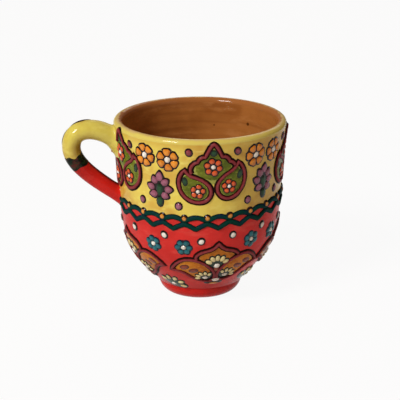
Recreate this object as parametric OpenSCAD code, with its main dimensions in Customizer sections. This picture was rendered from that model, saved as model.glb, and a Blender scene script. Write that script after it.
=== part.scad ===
// Painted clay mug with an ear handle and raised enamel ornament.
// Sizes are millimetres. The origin is the centre of the foot on the table,
// +Z is up and the handle points along -X.

/* [Wall] */
// Height from the table to the top of the lip
mug_h = 90; // [86:0.5:98]
// Outside diameter of the rim
rim_d = 86; // [82:0.5:94]
// Thickness of the rounded lip
lip_t = 4.6; // [3.8:0.1:5.4]
// Outside diameter at the belly
belly_d = 81.6; // [78:0.2:90]
// Outside diameter where the bowl meets the foot
bowl_base_d = 43.2; // [42.6:0.2:48]
// Thickness of the wall without its lining
wall_t = 4.6; // [3.8:0.1:5.4]
// Thickness of the floor
floor_t = 5; // [4:0.1:9]
// Thickness of the coloured slip outside
slip_t = 0.4; // [0.3:0.05:0.6]
// Thickness of the clear glaze inside
lining_t = 0.3; // [0.2:0.05:0.6]

/* [Foot] */
// Height of the foot ring
foot_h = 7.2; // [5:0.1:9]
// Step from the bowl in to the top of the foot ring
foot_step = 0.6; // [0:0.1:2]
// Outside diameter of the flat that stands on the table
rest_d = 28; // [25:0.2:34]
// Diameter of the recess inside the foot ring
recess_d = 22; // [18:0.2:24]

/* [Handle] */
// Distance from the wall at the upper root to the middle of the handle at its furthest
handle_out = 21.8; // [19:0.1:26]
// Drop from the lip to that furthest point
handle_bend_drop = 13; // [10:0.5:16]
// Drop from the lip to the place where the upper arm leaves the wall
upper_root_drop = 12.5; // [11:0.5:15]
// Rise of the arch above the furthest point
arch_rise = 12.5; // [10:0.5:13]
// Diameter of the handle at the upper arm
handle_top_d = 9; // [8:0.1:10]
// Diameter of the handle at the lower arm
handle_low_d = 7.2; // [6:0.1:8.5]
// Extra radius of the joining clay where an arm meets the wall
luting_t = 1.6; // [1:0.1:2.4]
// Length of the joining clay along an arm
luting_len = 7; // [5:0.5:10]

/* [Ornament] */
// Links in the chain border
chain_links = 23; // [19:1:27]
// Width of a chain line
chain_line_w = 2; // [1.4:0.1:2.3]
// Diameter of a chain bead
bead_d = 3; // [2:0.1:3.6]
// Width of the raised outlines
rope_w = 1.7; // [1.2:0.1:2.2]
// Height of the raised outlines
rope_t = 0.9; // [0.5:0.1:1.4]
// Height of the coloured fields inside the outlines
field_t = 0.4; // [0.2:0.1:0.6]
// Height of petals, dots and lines
petal_t = 0.8; // [0.5:0.1:1.2]
// Width of a boteh
boteh_w = 17.2; // [14:0.2:19]
// Height of a boteh
boteh_h = 20.2; // [17:0.2:22]
// Width of the scalloped leaf behind two botehs
leaf_w = 25; // [22:0.5:28]
// Height of the scalloped leaf
leaf_h = 19.5; // [17:0.5:22]
// Diameter of an orange rosette
rosette_d = 11; // [9:0.2:11.6]
// Diameter of a flower inside a boteh
floret_d = 7; // [5.6:0.2:7.6]
// Width of a sprig
sprig_w = 13.6; // [10:0.2:14.4]
// Height of a sprig
sprig_h = 17; // [14:0.2:19]
// Diameter of a teal rosette
teal_d = 8.8; // [7:0.1:9.2]
// Diameter of a plain dot
dot_d = 3.1; // [2:0.1:3.4]
// Width of the palmette's crown leaf
crown_w = 23; // [20:0.5:25]
// Height of the palmette's crown leaf
crown_h = 17.4; // [15:0.2:19]
// Width of a palmette's side pod
pod_w = 23.5; // [20:0.5:25]
// Height of a palmette's side pod
pod_h = 18.5; // [16:0.2:20]
// Radius of the fan of petals near the foot
foot_fan_r = 6.8; // [5:0.1:7.4]
// Height of the yellow band that its motifs are drawn for
upper_drawn_h = 37.7; // [33:0.1:42]
// Height of the red band that its motifs are drawn for
lower_drawn_h = 42.8; // [38:0.1:48]
// Belly diameter that the motifs are drawn for
drawn_d = 81.6; // [76:0.2:88]
// Length of a painted leaf on the back of the handle
handle_leaf_l = 7; // [5:0.2:8]
// Width of a painted leaf on the back of the handle
handle_leaf_w = 3.6; // [3:0.2:6]

/* [Hidden] */
$fn = 72;
turning_facets = 360;

// Overrun of every cut past the face that it cuts
overrun = 2;
// Reach of an ornament's cutter to each side of the wall
cutter_reach = 6;
// Clear strip kept round the roots of the handle
root_clearance = 0.6;
// Gap left between neighbouring strokes
stroke_gap = 0.3;

// Wall profile: a bowl curve from the foot to the belly, then a flaring curve to the lip
rim_r = rim_d / 2;
belly_r = belly_d / 2;
widest_r = max(rim_r, belly_r);
foot_r = bowl_base_d / 2 - foot_step;
bowl_base_r = bowl_base_d / 2;
wall_top_h = mug_h - lip_t / 2;
belly_share = 0.6945;
belly_h = belly_share * mug_h;
bowl_spread_share = 0.647;
bowl_rise_shares = [0.272, 0.33];
wall_rise_shares = [0.107, 0.772];
wall_flare_share = 0.37;
bowl_steps = 12;
wall_steps = 5;
bowl_h = belly_h - foot_h;
upper_h = wall_top_h - belly_h;
bowl_curve = [
    [bowl_base_r, foot_h],
    [bowl_base_r + bowl_spread_share * (belly_r - bowl_base_r), foot_h + bowl_rise_shares[0] * bowl_h],
    [belly_r, foot_h + bowl_rise_shares[1] * bowl_h],
    [belly_r, belly_h]];
wall_curve = [
    [belly_r, belly_h],
    [belly_r, belly_h + wall_rise_shares[0] * upper_h],
    [rim_r - wall_flare_share * (rim_r - belly_r), belly_h + wall_rise_shares[1] * upper_h],
    [rim_r, wall_top_h]];

function bezier(c, t) =
    pow(1 - t, 3) * c[0] + 3 * pow(1 - t, 2) * t * c[1] + 3 * (1 - t) * t * t * c[2] + pow(t, 3) * c[3];
function bezier_run(c, t) =
    pow(1 - t, 2) * (c[1] - c[0]) + 2 * (1 - t) * t * (c[2] - c[1]) + t * t * (c[3] - c[2]);
function unit(v) = v / norm(v);
function outward(v) = unit([v.y, -v.x]);
function reversed(p) = [for (i = [len(p) - 1:-1:0]) p[i]];
function inner_part(p) = [for (i = [1:len(p) - 2]) p[i]];

wall_points = concat(
    [for (i = [0:bowl_steps]) bezier(bowl_curve, i / bowl_steps)],
    [for (i = [1:wall_steps]) bezier(wall_curve, i / wall_steps)]);
wall_normals = concat(
    [for (i = [0:bowl_steps]) outward(bezier_run(bowl_curve, i / bowl_steps))],
    [for (i = [1:wall_steps]) outward(bezier_run(wall_curve, i / wall_steps))]);
wall_last = len(wall_points) - 1;
wall_radii = [for (p = wall_points) [p.y, p.x]];
wall_tilts = [for (i = [0:wall_last]) [wall_points[i].y, atan2(wall_normals[i].y, wall_normals[i].x)]];

function wall_r(h) = lookup(h, wall_radii);
function wall_tilt(h) = lookup(h, wall_tilts);
function skin(d) = [for (i = [0:wall_last]) wall_points[i] + d * wall_normals[i]];

// The slip feathers out at the lip and at the foot
clay_points = concat([wall_points[0]], inner_part(skin(-slip_t)), [wall_points[wall_last]]);

// The inside follows the wall and runs out over the floor in a soft curve
floor_h = foot_h + floor_t;
floor_round_share = 0.42;
floor_round = floor_round_share * floor_t;
function settled(h, low) = low + floor_round * ln(1 + exp((h - low) / floor_round));
function inside(d) = concat(
    [for (i = [0:wall_last - 1])
        let (p = wall_points[i] - (wall_t + d) * wall_normals[i])
        [p.x, settled(p.y, floor_h + d)]],
    [[rim_r - lip_t, wall_top_h]]);
function inside_bottom(d) = [0, inside(d)[0].y];
lip_steps = 8;
lip_points = [for (i = [1:lip_steps - 1])
    let (a = 180 * i / lip_steps)
    [rim_r - lip_t / 2 + lip_t / 2 * cos(a), wall_top_h + lip_t / 2 * sin(a)]];

// Handle path: an arch from the upper root, then the lower arm back to the wall
root_bite = wall_t / 2;
upper_root_h = mug_h - upper_root_drop;
lower_root_share = 0.5555;
lower_root_h = lower_root_share * mug_h;
handle_bend_h = mug_h - handle_bend_drop;
handle_x = wall_r(upper_root_h) + handle_out;
upper_lean_turn = 61.1;
upper_lean_share = 0.955;
lower_drop_shares = [0.33, 0.63];
lower_in_share = 0.44;
upper_root = [-wall_r(upper_root_h) + root_bite, upper_root_h];
lower_root = [-wall_r(lower_root_h) + root_bite, lower_root_h];
lower_out = handle_x + lower_root.x;
lower_drop = handle_bend_h - lower_root_h;
upper_lean = upper_lean_turn + wall_tilt(wall_top_h);
arch_curve = [
    upper_root,
    upper_root + upper_lean_share * arch_rise * [-cos(upper_lean), sin(upper_lean)],
    [-handle_x, handle_bend_h + arch_rise],
    [-handle_x, handle_bend_h]];
lower_curve = [
    [-handle_x, handle_bend_h],
    [-handle_x, handle_bend_h - lower_drop_shares[0] * lower_drop],
    [-handle_x + lower_in_share * lower_out, handle_bend_h - lower_drop_shares[1] * lower_drop],
    lower_root];

// Rings of the handle: two outer rings run on into the wall, where the arms are cut
handle_sides = 20;
arch_rings = 16;
lower_rings = 16;
root_run = handle_top_d;
arch_start = unit(arch_curve[1] - arch_curve[0]);
lower_end = unit(lower_curve[3] - lower_curve[2]);
path = concat(
    [upper_root - root_run * arch_start],
    [for (i = [0:arch_rings]) bezier(arch_curve, i / arch_rings)],
    [for (i = [1:lower_rings]) bezier(lower_curve, i / lower_rings)],
    [lower_root + root_run * lower_end]);
path_runs = concat(
    [arch_start],
    [for (i = [0:arch_rings]) unit(bezier_run(arch_curve, i / arch_rings))],
    [for (i = [1:lower_rings]) unit(bezier_run(lower_curve, i / lower_rings))],
    [lower_end]);
ring_last = len(path) - 1;
ring_bend = arch_rings + 1;
handle_oval_share = 1.06;
band_from_share = 0.12;
band_to_share = 0.42;
band_from = ring_bend + round(band_from_share * lower_rings);
band_to = ring_bend + round(band_to_share * lower_rings);

function taper(i) = min(1, max(0, i - ring_bend / 2) / (ring_bend + lower_rings / 2));
function arm_r(i) = (handle_top_d + (handle_low_d - handle_top_d) * taper(i)) / 2;
function arm_way(i) = min(norm(path[i] - upper_root), norm(path[i] - lower_root));
function buried(i) = i == 0 || i == ring_last;
function swell(i) = buried(i) ? luting_t : luting_t * pow(max(0, 1 - arm_way(i) / luting_len), 2);
function clay_r(i) = arm_r(i) + swell(i);
function glazed_r(i) = clay_r(i) + slip_t;
function ring_point(i, j, r) =
    let (a = 360 * j / handle_sides, side = outward(path_runs[i]))
    [path[i].x + r * cos(a) * side.x, r * handle_oval_share * sin(a), path[i].y + r * cos(a) * side.y];

upper_luting_end = max([for (i = [1:ring_bend]) swell(i) > 0 ? i + 1 : 0]);
lower_luting_start = min([for (i = [ring_bend:ring_last - 1]) swell(i) > 0 ? i - 1 : ring_last]);

// Places of the painted leaves along the arch
handle_leaf_shares = [0.62, 0.92];
handle_leaf_rings = [for (s = handle_leaf_shares) 1 + round(s * arch_rings)];

// Marks of the handle's roots on the wall: height of the middle, half width and half height
function root_mark(h, run, i) =
    let (r = glazed_r(i), half = r * handle_oval_share + root_clearance)
    [h + root_bite * abs(run.y / run.x), half, half + r * (1 / abs(run.x) - 1)];
upper_mark = root_mark(upper_root_h, arch_start, 1);
lower_mark = root_mark(lower_root_h, lower_end, ring_last - 1);

// A motif is left out where it would reach into a root of the handle
handle_turn = 180;
function turn_apart(a, b) = let (d = abs(a - b) % 360) min(d, 360 - d);
function arc_of(turn, h) = wall_r(h) * turn * PI / 180;
function clears(turn, h, size, mark) = norm([
    arc_of(turn_apart(turn, handle_turn), h) / (mark[1] + size.x / 2),
    (h - mark[0]) / (mark[2] + size.y / 2)]) > 1;
function clear_of_handle(turns, h, size) =
    [for (t = turns) if (clears(t, h, size, upper_mark) && clears(t, h, size, lower_mark)) t];

// Ornament set out by eye: turns of the boteh groups and of the palmettes round the mug
boteh_turns = [-163, -88, -11, 61, 128];
palmette_turns = [-166, -84, -7, 93];
function next_turn(turns, i) = i + 1 < len(turns) ? turns[i + 1] : turns[0] + 360;
function gap_turns(turns, shares) =
    [for (i = [0:len(turns) - 1], s = shares) turns[i] + s * (next_turn(turns, i) - turns[i])];

// Rows of the ornament as shares of the yellow band and of the red band
chain_share = 0.5555;
chain_h = chain_share * mug_h;
upper_band_h = wall_top_h - chain_h;
lower_band_h = chain_h - foot_h;
function upper_row(share) = chain_h + share * upper_band_h;
function lower_row(share) = foot_h + share * lower_band_h;

// The motifs are drawn for a band and a girth, and follow the one that is tighter
upper_fit = min(upper_band_h / upper_drawn_h, belly_d / drawn_d);
lower_fit = min(lower_band_h / lower_drawn_h, belly_d / drawn_d);
boteh_across = upper_fit * boteh_w;
boteh_tall = upper_fit * boteh_h;
leaf_across = upper_fit * leaf_w;
leaf_tall = upper_fit * leaf_h;
rosette_across = upper_fit * rosette_d;
floret_across = upper_fit * floret_d;
sprig_across = upper_fit * sprig_w;
sprig_tall = upper_fit * sprig_h;
teal_across = lower_fit * teal_d;
crown_across = lower_fit * crown_w;
crown_tall = lower_fit * crown_h;
pod_across = lower_fit * pod_w;
pod_tall = lower_fit * pod_h;
foot_fan_reach = lower_fit * foot_fan_r;
upper_dot_d = upper_fit * dot_d;
lower_dot_d = lower_fit * dot_d;

boteh_row_share = 0.485;
leaf_row_share = 0.725;
rosette_row_share = 0.80;
sprig_row_share = 0.385;
maroon_row_share = 0.895;
pink_row_share = 0.205;
white_row_share = 0.79;
teal_row_share = 0.70;
crown_row_share = 0.519;
pod_row_share = 0.335;
foot_fan_row_share = 0.095;
rosette_h = upper_row(rosette_row_share);
sprig_row_h = upper_row(sprig_row_share);
pink_h = upper_row(pink_row_share);
maroon_h = upper_row(maroon_row_share);
teal_h = lower_row(teal_row_share);
white_h = lower_row(white_row_share);

// Places of the small motifs in the gaps between groups, as shares of a gap
middle_shares = [0.5];
rosette_gap_shares = [0.385, 0.615];
pink_gap_shares = [0.3, 0.7];
maroon_gap_shares = [0.2, 0.8];
teal_gap_shares = [0.37, 0.68];
white_gap_shares = [0.15, 0.5, 0.85];
rosette_turns =
    clear_of_handle(gap_turns(boteh_turns, rosette_gap_shares), rosette_h, [rosette_across, rosette_across]);
sprig_turns = clear_of_handle(gap_turns(boteh_turns, middle_shares), sprig_row_h, [sprig_across, sprig_tall]);
pink_turns = clear_of_handle(gap_turns(boteh_turns, pink_gap_shares), pink_h, [upper_dot_d, upper_dot_d]);
maroon_turns =
    clear_of_handle(gap_turns(boteh_turns, maroon_gap_shares), maroon_h, [upper_dot_d, upper_dot_d]);
teal_turns = gap_turns(palmette_turns, teal_gap_shares);
white_turns =
    clear_of_handle(gap_turns(palmette_turns, white_gap_shares), white_h, [lower_dot_d, lower_dot_d]);
foot_fan_turns = gap_turns(palmette_turns, middle_shares);

// Outlines as control points, in shares of a motif's width and height
boteh_shares = [
    [-0.29, 0.50], [-0.56, 0.275], [-0.56, -0.15], [-0.18, -0.375],
    [0.01, -0.495], [0.39, -0.515], [0.48, -0.225],
    [0.54, 0.075], [0.17, 0.225], [-0.07, 0.30],
    [-0.18, 0.34], [-0.24, 0.41], [-0.29, 0.50]];
leaf_shares = [
    [0, 0.50], [-0.07, 0.42], [-0.12, 0.32], [-0.175, 0.235],
    [-0.24, 0.245], [-0.305, 0.20], [-0.325, 0.13],
    [-0.39, 0.13], [-0.465, 0.07], [-0.48, -0.03],
    [-0.45, -0.20], [-0.20, -0.45], [0, -0.50]];
crown_shares = [
    [0, 0.53], [-0.065, 0.40], [-0.13, 0.345], [-0.195, 0.31],
    [-0.30, 0.265], [-0.43, 0.23], [-0.49, 0.115],
    [-0.515, 0.03], [-0.495, -0.035], [-0.455, -0.085],
    [-0.26, -0.23], [-0.11, -0.37], [0, -0.46]];
pod_shares = [
    [0.43, -0.38], [0.35, 0.65], [-0.37, 0.81], [-0.50, -0.03],
    [-0.29, -0.05], [-0.14, -0.08], [-0.06, -0.24],
    [0.04, -0.46], [0.25, -0.51], [0.43, -0.38]];
curve_steps = 4;

function curve(c, n) =
    [for (s = [0:3:len(c) - 4], i = [0:n - 1]) bezier([c[s], c[s + 1], c[s + 2], c[s + 3]], i / n)];
function sized(shares, w, h) = [for (p = shares) [p.x * w, p.y * h]];
function flipped(p) = [for (i = [len(p) - 1:-1:0]) [-p[i].x, p[i].y]];
function whole_leaf(shares, w, h) =
    let (half = curve(sized(shares, w, h), curve_steps), foot = [0, shares[len(shares) - 1].y * h])
    concat(half, [foot], [for (i = [len(half) - 1:-1:1]) [-half[i].x, half[i].y]]);
function grown(p, middle, d, w) = [for (q = p) middle + (q - middle) * (1 + 2 * d / w)];
petal_corners = 10;
petal_bulge_share = 0.25;
function petal(l, w) = [for (i = [0:petal_corners - 1])
    let (a = 360 * i / petal_corners)
    [w / 2 * sin(a) * (1 + petal_bulge_share * cos(a)), l / 2 * cos(a)]];

boteh_middle_share = -0.08;
pod_middle_share = 0.12;
boteh_outline = curve(sized(boteh_shares, boteh_across, boteh_tall), curve_steps);
leaf_outline = whole_leaf(leaf_shares, leaf_across, leaf_tall);
crown_outline = whole_leaf(crown_shares, crown_across, crown_tall);
pod_outline = curve(sized(pod_shares, pod_across, pod_tall), curve_steps + 1);
function boteh_grown(d) = grown(boteh_outline, [0, boteh_middle_share * boteh_tall], d, boteh_across);
function leaf_grown(d) = grown(leaf_outline, [0, 0], d, leaf_across);
function crown_grown(d) = grown(crown_outline, [0, 0], d, crown_across);
function pod_grown(d) = grown(pod_outline, [0, pod_middle_share * pod_tall], d, pod_tall);
boteh_out = boteh_across / 2 + stroke_gap;
pod_turn = 21.5;

// Solids of revolution
module revolved(p) {
    rotate_extrude($fn = turning_facets) polygon(p);
}

module filled_wall() {
    revolved(concat([[0, foot_h]], wall_points, [[0, wall_top_h]]));
}

module filled_clay() {
    revolved(concat([[0, foot_h]], clay_points, [[0, wall_top_h]]));
}

module slip_shell() {
    revolved(concat(wall_points, reversed(inner_part(clay_points))));
}

module slab(low, high) {
    translate([0, 0, low]) cylinder(r = widest_r + overrun, h = high - low);
}

// Handle lofts: sleeve covers rings first to last between two radii, given ring by ring
function ring_of(i, r) = [for (j = [0:handle_sides - 1]) ring_point(i, j, r)];
function strip(a, b) = [for (j = [0:handle_sides - 1])
    let (k = (j + 1) % handle_sides)
    each [[a + j, b + j, b + k], [a + j, b + k, a + k]]];
function turned(faces) = [for (f = faces) reversed(f)];

module solid_arm(first, last, radii) {
    n = last - first;
    tail = n * handle_sides;
    polyhedron(
        [for (i = [first:last]) each ring_of(i, radii[i])],
        concat(
            [[for (j = [0:handle_sides - 1]) j]],
            [for (i = [0:n - 1]) each strip(i * handle_sides, (i + 1) * handle_sides)],
            [[for (j = [handle_sides - 1:-1:0]) tail + j]]));
}

module sleeve(first, last, inner, outer) {
    n = last - first;
    inside_at = (n + 1) * handle_sides;
    tail = n * handle_sides;
    polyhedron(
        concat(
            [for (i = [first:last]) each ring_of(i, outer[i])],
            [for (i = [first:last]) each ring_of(i, inner[i])]),
        concat(
            [for (i = [0:n - 1]) each strip(i * handle_sides, (i + 1) * handle_sides)],
            [for (i = [0:n - 1])
                each turned(strip(inside_at + i * handle_sides, inside_at + (i + 1) * handle_sides))],
            strip(inside_at, 0),
            strip(tail, inside_at + tail)));
}

arm_radii = [for (i = [0:ring_last]) arm_r(i)];
clay_radii = [for (i = [0:ring_last]) clay_r(i)];
glazed_radii = [for (i = [0:ring_last]) glazed_r(i)];

// Joining clay: a collar that feathers out along the arm
module collar(first, last, step) {
    rings = [for (i = [first:step:last]) i];
    n = len(rings) - 1;
    inside_at = n * handle_sides;
    skins = concat(
        [for (k = [0:n - 2]) each strip(k * handle_sides, (k + 1) * handle_sides)],
        strip((n - 1) * handle_sides, inside_at + n * handle_sides),
        [for (k = [0:n - 1])
            each turned(strip(inside_at + k * handle_sides, inside_at + (k + 1) * handle_sides))],
        strip(inside_at, 0));
    polyhedron(
        concat(
            [for (k = [0:n - 1]) each ring_of(rings[k], clay_radii[rings[k]])],
            [for (k = [0:n]) each ring_of(rings[k], arm_radii[rings[k]])]),
        step > 0 ? skins : turned(skins));
}

// Clear strips round the two roots of the handle
module root_strip(mark) {
    straight = mark[2] - mark[1];
    reach = widest_r + cutter_reach;
    translate([-reach, 0, mark[0]]) rotate([90, 0, 90])
        linear_extrude(height = reach) union() {
            translate([0, straight]) circle(r = mark[1]);
            translate([0, -straight]) circle(r = mark[1]);
            square([2 * mark[1], 2 * straight], center = true);
        }
}

module handle_roots() {
    root_strip(upper_mark);
    root_strip(lower_mark);
}

// Ornament. Wide motifs are cutters square to the wall, trimmed to a layer of even height
module relief(low, high) {
    intersection() {
        revolved(concat(skin(low), reversed(skin(high))));
        union() children();
    }
}

// Small motifs are flat-topped studs, trimmed to the layer that they stand on
module studs(low) {
    difference() {
        union() children();
        revolved(concat([[0, foot_h]], skin(low), [[0, wall_top_h]]));
    }
}

module on_wall(turn, h) {
    rotate([0, 0, turn]) translate([wall_r(h), 0, h])
        rotate([0, 90 - wall_tilt(h), 0]) rotate([0, 0, 90]) children();
}

module at_turns(turns, h) {
    for (t = turns) on_wall(t, h) children();
}

module cutter(p) {
    linear_extrude(height = 2 * cutter_reach, center = true) polygon(p);
}

module round_cutter(d) {
    cylinder(d = d, h = 2 * cutter_reach, center = true);
}

module stud(p, top) {
    translate([0, 0, -overrun]) linear_extrude(height = overrun + top) polygon(p);
}

module round_stud(d, top) {
    translate([0, 0, -overrun]) cylinder(d = d, h = overrun + top);
}

module round_petals(count, ring_r, d, top) {
    for (k = [0:count - 1]) rotate([0, 0, 360 * k / count]) translate([0, ring_r, 0]) round_stud(d, top);
}

module fan_of_petals(angles, ring_r, l, w) {
    for (a = angles) rotate([0, 0, a]) translate([0, ring_r, 0]) cutter(petal(l, w));
}

// Boteh group: two drops lean away from each other in front of a scalloped leaf
leaf_lift = (leaf_row_share - boteh_row_share) * upper_band_h;
module boteh_pair(outline) {
    translate([-boteh_out, 0, 0]) cutter(outline);
    translate([boteh_out, 0, 0]) cutter(flipped(outline));
}

module at_groups() {
    at_turns(boteh_turns, upper_row(boteh_row_share)) children();
}

// Florets and seeds of a group, set out by height and by distance round the wall
floret_ring_share = 0.35;
floret_petal_share = 0.30;
floret_heart_share = 0.30;
floret_place_shares = [0.08, -0.15];
leaf_floret_share = -0.10;
leaf_floret_grow_share = 1.216;
floret_count = 5;
leaf_floret_count = 6;
seed_d_share = 0.15;
boteh_seed_shares = [0.24, 0.10];
leaf_seed_share = 0.22;
function turn_of(x, h) = asin(x / wall_r(h));
function beside(x, h) = [for (t = boteh_turns, side = [-1, 1]) t + side * turn_of(x, h)];
boteh_floret_h = upper_row(boteh_row_share) + floret_place_shares[1] * boteh_tall;
boteh_floret_turns = clear_of_handle(
    beside(boteh_out - floret_place_shares[0] * boteh_across, boteh_floret_h),
    boteh_floret_h, [floret_across, floret_across]);
boteh_seed_h = upper_row(boteh_row_share) + boteh_seed_shares[1] * boteh_tall;
seed_d = seed_d_share * boteh_across;
boteh_seed_turns = clear_of_handle(
    beside(boteh_out + boteh_seed_shares[0] * boteh_across, boteh_seed_h), boteh_seed_h, [seed_d, seed_d]);
leaf_floret_h = upper_row(leaf_row_share) + leaf_floret_share * leaf_tall;
leaf_seed_h = upper_row(leaf_row_share) + leaf_seed_share * leaf_tall;
leaf_floret_d = leaf_floret_grow_share * floret_across;

// Rosettes
rosette_count = 6;
rosette_ring_share = 0.34;
rosette_petal_shares = [0.32, 0.31];
rosette_heart_share = 0.27;
teal_count = 5;
teal_ring_share = 0.32;
teal_petal_share = 0.35;
teal_heart_share = 0.25;

// Sprig: seven pointed petals round an oval heart with a drop of stem
sprig_petal_angles = [0, 42, 90, 140, -140, -90, -42];
sprig_out_shares = [0.43, 0.30, 0.285, 0.28, 0.28, 0.285, 0.30];
sprig_petal_shares = [0.26, 0.23];
sprig_heart_shares = [0.25, 0.27];
sprig_stem_shares = [0.2, 0.26];
sprig_stem_drop_share = 0.40;

// Palmette: a crown leaf behind two pods, each with a fan of cream petals
crown_fan_angles = [-56, -28, 0, 28, 56];
crown_fan_shares = [0.24, 0.205, 0.11];
crown_heart_shares = [0.27, 0.17];
pod_fan_angles = [-10, 35, 80];
pod_fan_place_shares = [0.24, -0.24];
pod_fan_shares = [0.16, 0.125, 0.07];
pod_heart_share = 0.1;
pod_seed_shares = [[-0.12, 0.19], [0.06, 0.06]];
pod_seed_size_shares = [0.1, 0.15];
foot_fan_angles = [-74, -37, 0, 37, 74];
foot_fan_shares = [0.7, 0.62, 0.36];
foot_heart_share = 0.7;

module at_pods() {
    for (t = palmette_turns, side = [-1, 1])
        on_wall(t + side * pod_turn, lower_row(pod_row_share)) mirror([side > 0 ? 1 : 0, 0, 0]) children();
}

module at_crowns() {
    at_turns(palmette_turns, lower_row(crown_row_share)) children();
}

module at_crown_hearts() {
    at_crowns() translate([0, -crown_heart_shares[0] * crown_tall, 0]) children();
}

module at_pod_hearts() {
    at_pods() translate([pod_fan_place_shares[0] * pod_across, pod_fan_place_shares[1] * pod_tall, 0])
        children();
}

module at_foot_fans() {
    at_turns(foot_fan_turns, lower_row(foot_fan_row_share)) children();
}

// Chain border: arches from bead to bead above a zigzag line
link_turn = 360 / chain_links;
chain_start_turn = -92.5;
link_w = 2 * wall_r(chain_h) * sin(link_turn / 2);
arch_line_share = 1.9;
arch_line_rise_share = 0.75;
bead_lift_share = 0.9;
zigzag_shares = [-0.1, -1.5];
notch_share = 0.46;
bead_h = chain_h + bead_lift_share * chain_line_w;
arch_h = chain_h + (arch_line_share - 1) * chain_line_w;
function chain_turns(offset_share, h, size) = clear_of_handle(
    [for (k = [0:chain_links - 1]) chain_start_turn + (k + offset_share) * link_turn], h, size);

// One arch of the upper line, as a stroke of even width that ends clear of the beads
arch_steps = 6;
arch_half = (link_w - bead_d) / 2 - stroke_gap;
function arch_edge(lift) = [for (i = [0:arch_steps])
    let (x = 2 * i / arch_steps - 1)
    [x * arch_half, lift - arch_line_rise_share * chain_line_w * x * x]];
arch_stroke = concat(arch_edge(chain_line_w), reversed(arch_edge(0)));

module notch(turn, tip_h, edge_h) {
    away = edge_h > tip_h ? overrun : -overrun;
    half = notch_share * link_w;
    on_wall(turn, tip_h)
        cutter([[0, 0], [half, edge_h - tip_h], [half, edge_h - tip_h + away],
            [-half, edge_h - tip_h + away], [-half, edge_h - tip_h]]);
}

// A place on the back of the handle, with its length along the arm and its height away from it
module on_handle(i) {
    side = outward(path_runs[i]);
    translate([path[i].x, 0, path[i].y]) rotate([0, atan2(side.x, side.y), 0]) rotate([0, 0, 90]) children();
}

// Clay pieces
module body() {
    color("#b5763f") revolved(concat(
        [[0, foot_h]], clay_points, lip_points, reversed(inside(0)), [inside_bottom(0)]));
}

foot_steps = 8;
function foot_arc(r) = [for (i = [0:foot_steps])
    let (a = 90 * i / foot_steps)
    [rest_d / 2 + (r - rest_d / 2) * sin(a), foot_h * (1 - cos(a))]];

module foot_ring() {
    color("#b5763f") revolved(concat(
        [[recess_d / 2, 0]], foot_arc(foot_r - slip_t), [[recess_d / 2, foot_h]]));
}

module handle() {
    color("#b5763f") difference() {
        solid_arm(0, ring_last, arm_radii);
        filled_clay();
    }
}

module upper_luting() {
    color("#a96c39") difference() {
        collar(0, upper_luting_end, 1);
        filled_clay();
    }
}

module lower_luting() {
    color("#a96c39") difference() {
        collar(ring_last, lower_luting_start, -1);
        filled_clay();
    }
}

// Slips and glaze
module lining_glaze() {
    color("#8a5428") revolved(concat(
        [inside_bottom(0)], inside(0), reversed([for (i = [0:wall_last - 1]) inside(lining_t)[i]]),
        [inside_bottom(lining_t)]));
}

module yellow_slip() {
    color("#dccb5a") difference() {
        intersection() {
            slip_shell();
            slab(bead_h, mug_h);
        }
        solid_arm(0, ring_bend, clay_radii);
        solid_arm(ring_bend, ring_last, clay_radii);
    }
}

module red_slip() {
    color("#d23a38") difference() {
        intersection() {
            slip_shell();
            slab(0, bead_h);
        }
        solid_arm(ring_bend, ring_last, clay_radii);
    }
}

module foot_slip() {
    color("#c8302f") revolved(concat(
        foot_arc(foot_r), reversed([for (i = [1:foot_steps]) foot_arc(foot_r - slip_t)[i]])));
}

module handle_yellow_slip() {
    color("#dccb5a") difference() {
        sleeve(0, band_from, clay_radii, glazed_radii);
        filled_wall();
    }
}

module handle_dark_band() {
    color("#1d2420") sleeve(band_from, band_to, clay_radii, glazed_radii);
}

module handle_red_slip() {
    color("#c02a26") difference() {
        sleeve(band_to, ring_last, clay_radii, glazed_radii);
        filled_wall();
    }
}

module handle_leaves() {
    raised_radii = [for (r = glazed_radii) r + petal_t];
    reach = handle_top_d + petal_t;
    color("#5b2b2b") intersection() {
        sleeve(1, band_from, glazed_radii, raised_radii);
        for (i = handle_leaf_rings)
            on_handle(i) linear_extrude(height = reach) polygon(petal(handle_leaf_l, handle_leaf_w));
    }
}

// Chain border
module chain_upper_line() {
    color("#0c3b32") relief(0, petal_t)
        at_turns(chain_turns(middle_shares[0], arch_h, [link_w, chain_line_w]), arch_h) cutter(arch_stroke);
}

module chain_lower_line() {
    peak_h = chain_h + zigzag_shares[0] * chain_line_w;
    valley_h = chain_h + zigzag_shares[1] * chain_line_w;
    color("#0c3b32") difference() {
        intersection() {
            revolved(concat(wall_points, reversed(skin(petal_t))));
            slab(valley_h - chain_line_w, peak_h);
        }
        for (k = [0:chain_links - 1]) {
            notch(chain_start_turn + k * link_turn, peak_h - chain_line_w, valley_h - chain_line_w);
            notch(chain_start_turn + (k + middle_shares[0]) * link_turn, valley_h, peak_h);
        }
        handle_roots();
    }
}

module chain_beads() {
    color("#c97a20") studs(0) at_turns(chain_turns(0, bead_h, [bead_d, bead_d]), bead_h)
        round_stud(bead_d, petal_t + field_t);
}

// Yellow band
module boteh_outlines() {
    color("#7d2f35") difference() {
        relief(0, rope_t) at_groups() {
            difference() {
                boteh_pair(boteh_outline);
                boteh_pair(boteh_grown(-rope_w));
            }
            difference() {
                translate([0, leaf_lift, 0]) cutter(leaf_outline);
                translate([0, leaf_lift, 0]) cutter(leaf_grown(-rope_w));
                boteh_pair(boteh_grown(stroke_gap));
            }
        }
        handle_roots();
    }
}

module boteh_fields() {
    color("#6f8430") difference() {
        relief(0, field_t) at_groups() {
            boteh_pair(boteh_grown(-rope_w));
            difference() {
                translate([0, leaf_lift, 0]) cutter(leaf_grown(-rope_w));
                boteh_pair(boteh_grown(stroke_gap));
            }
        }
        handle_roots();
    }
}

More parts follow.
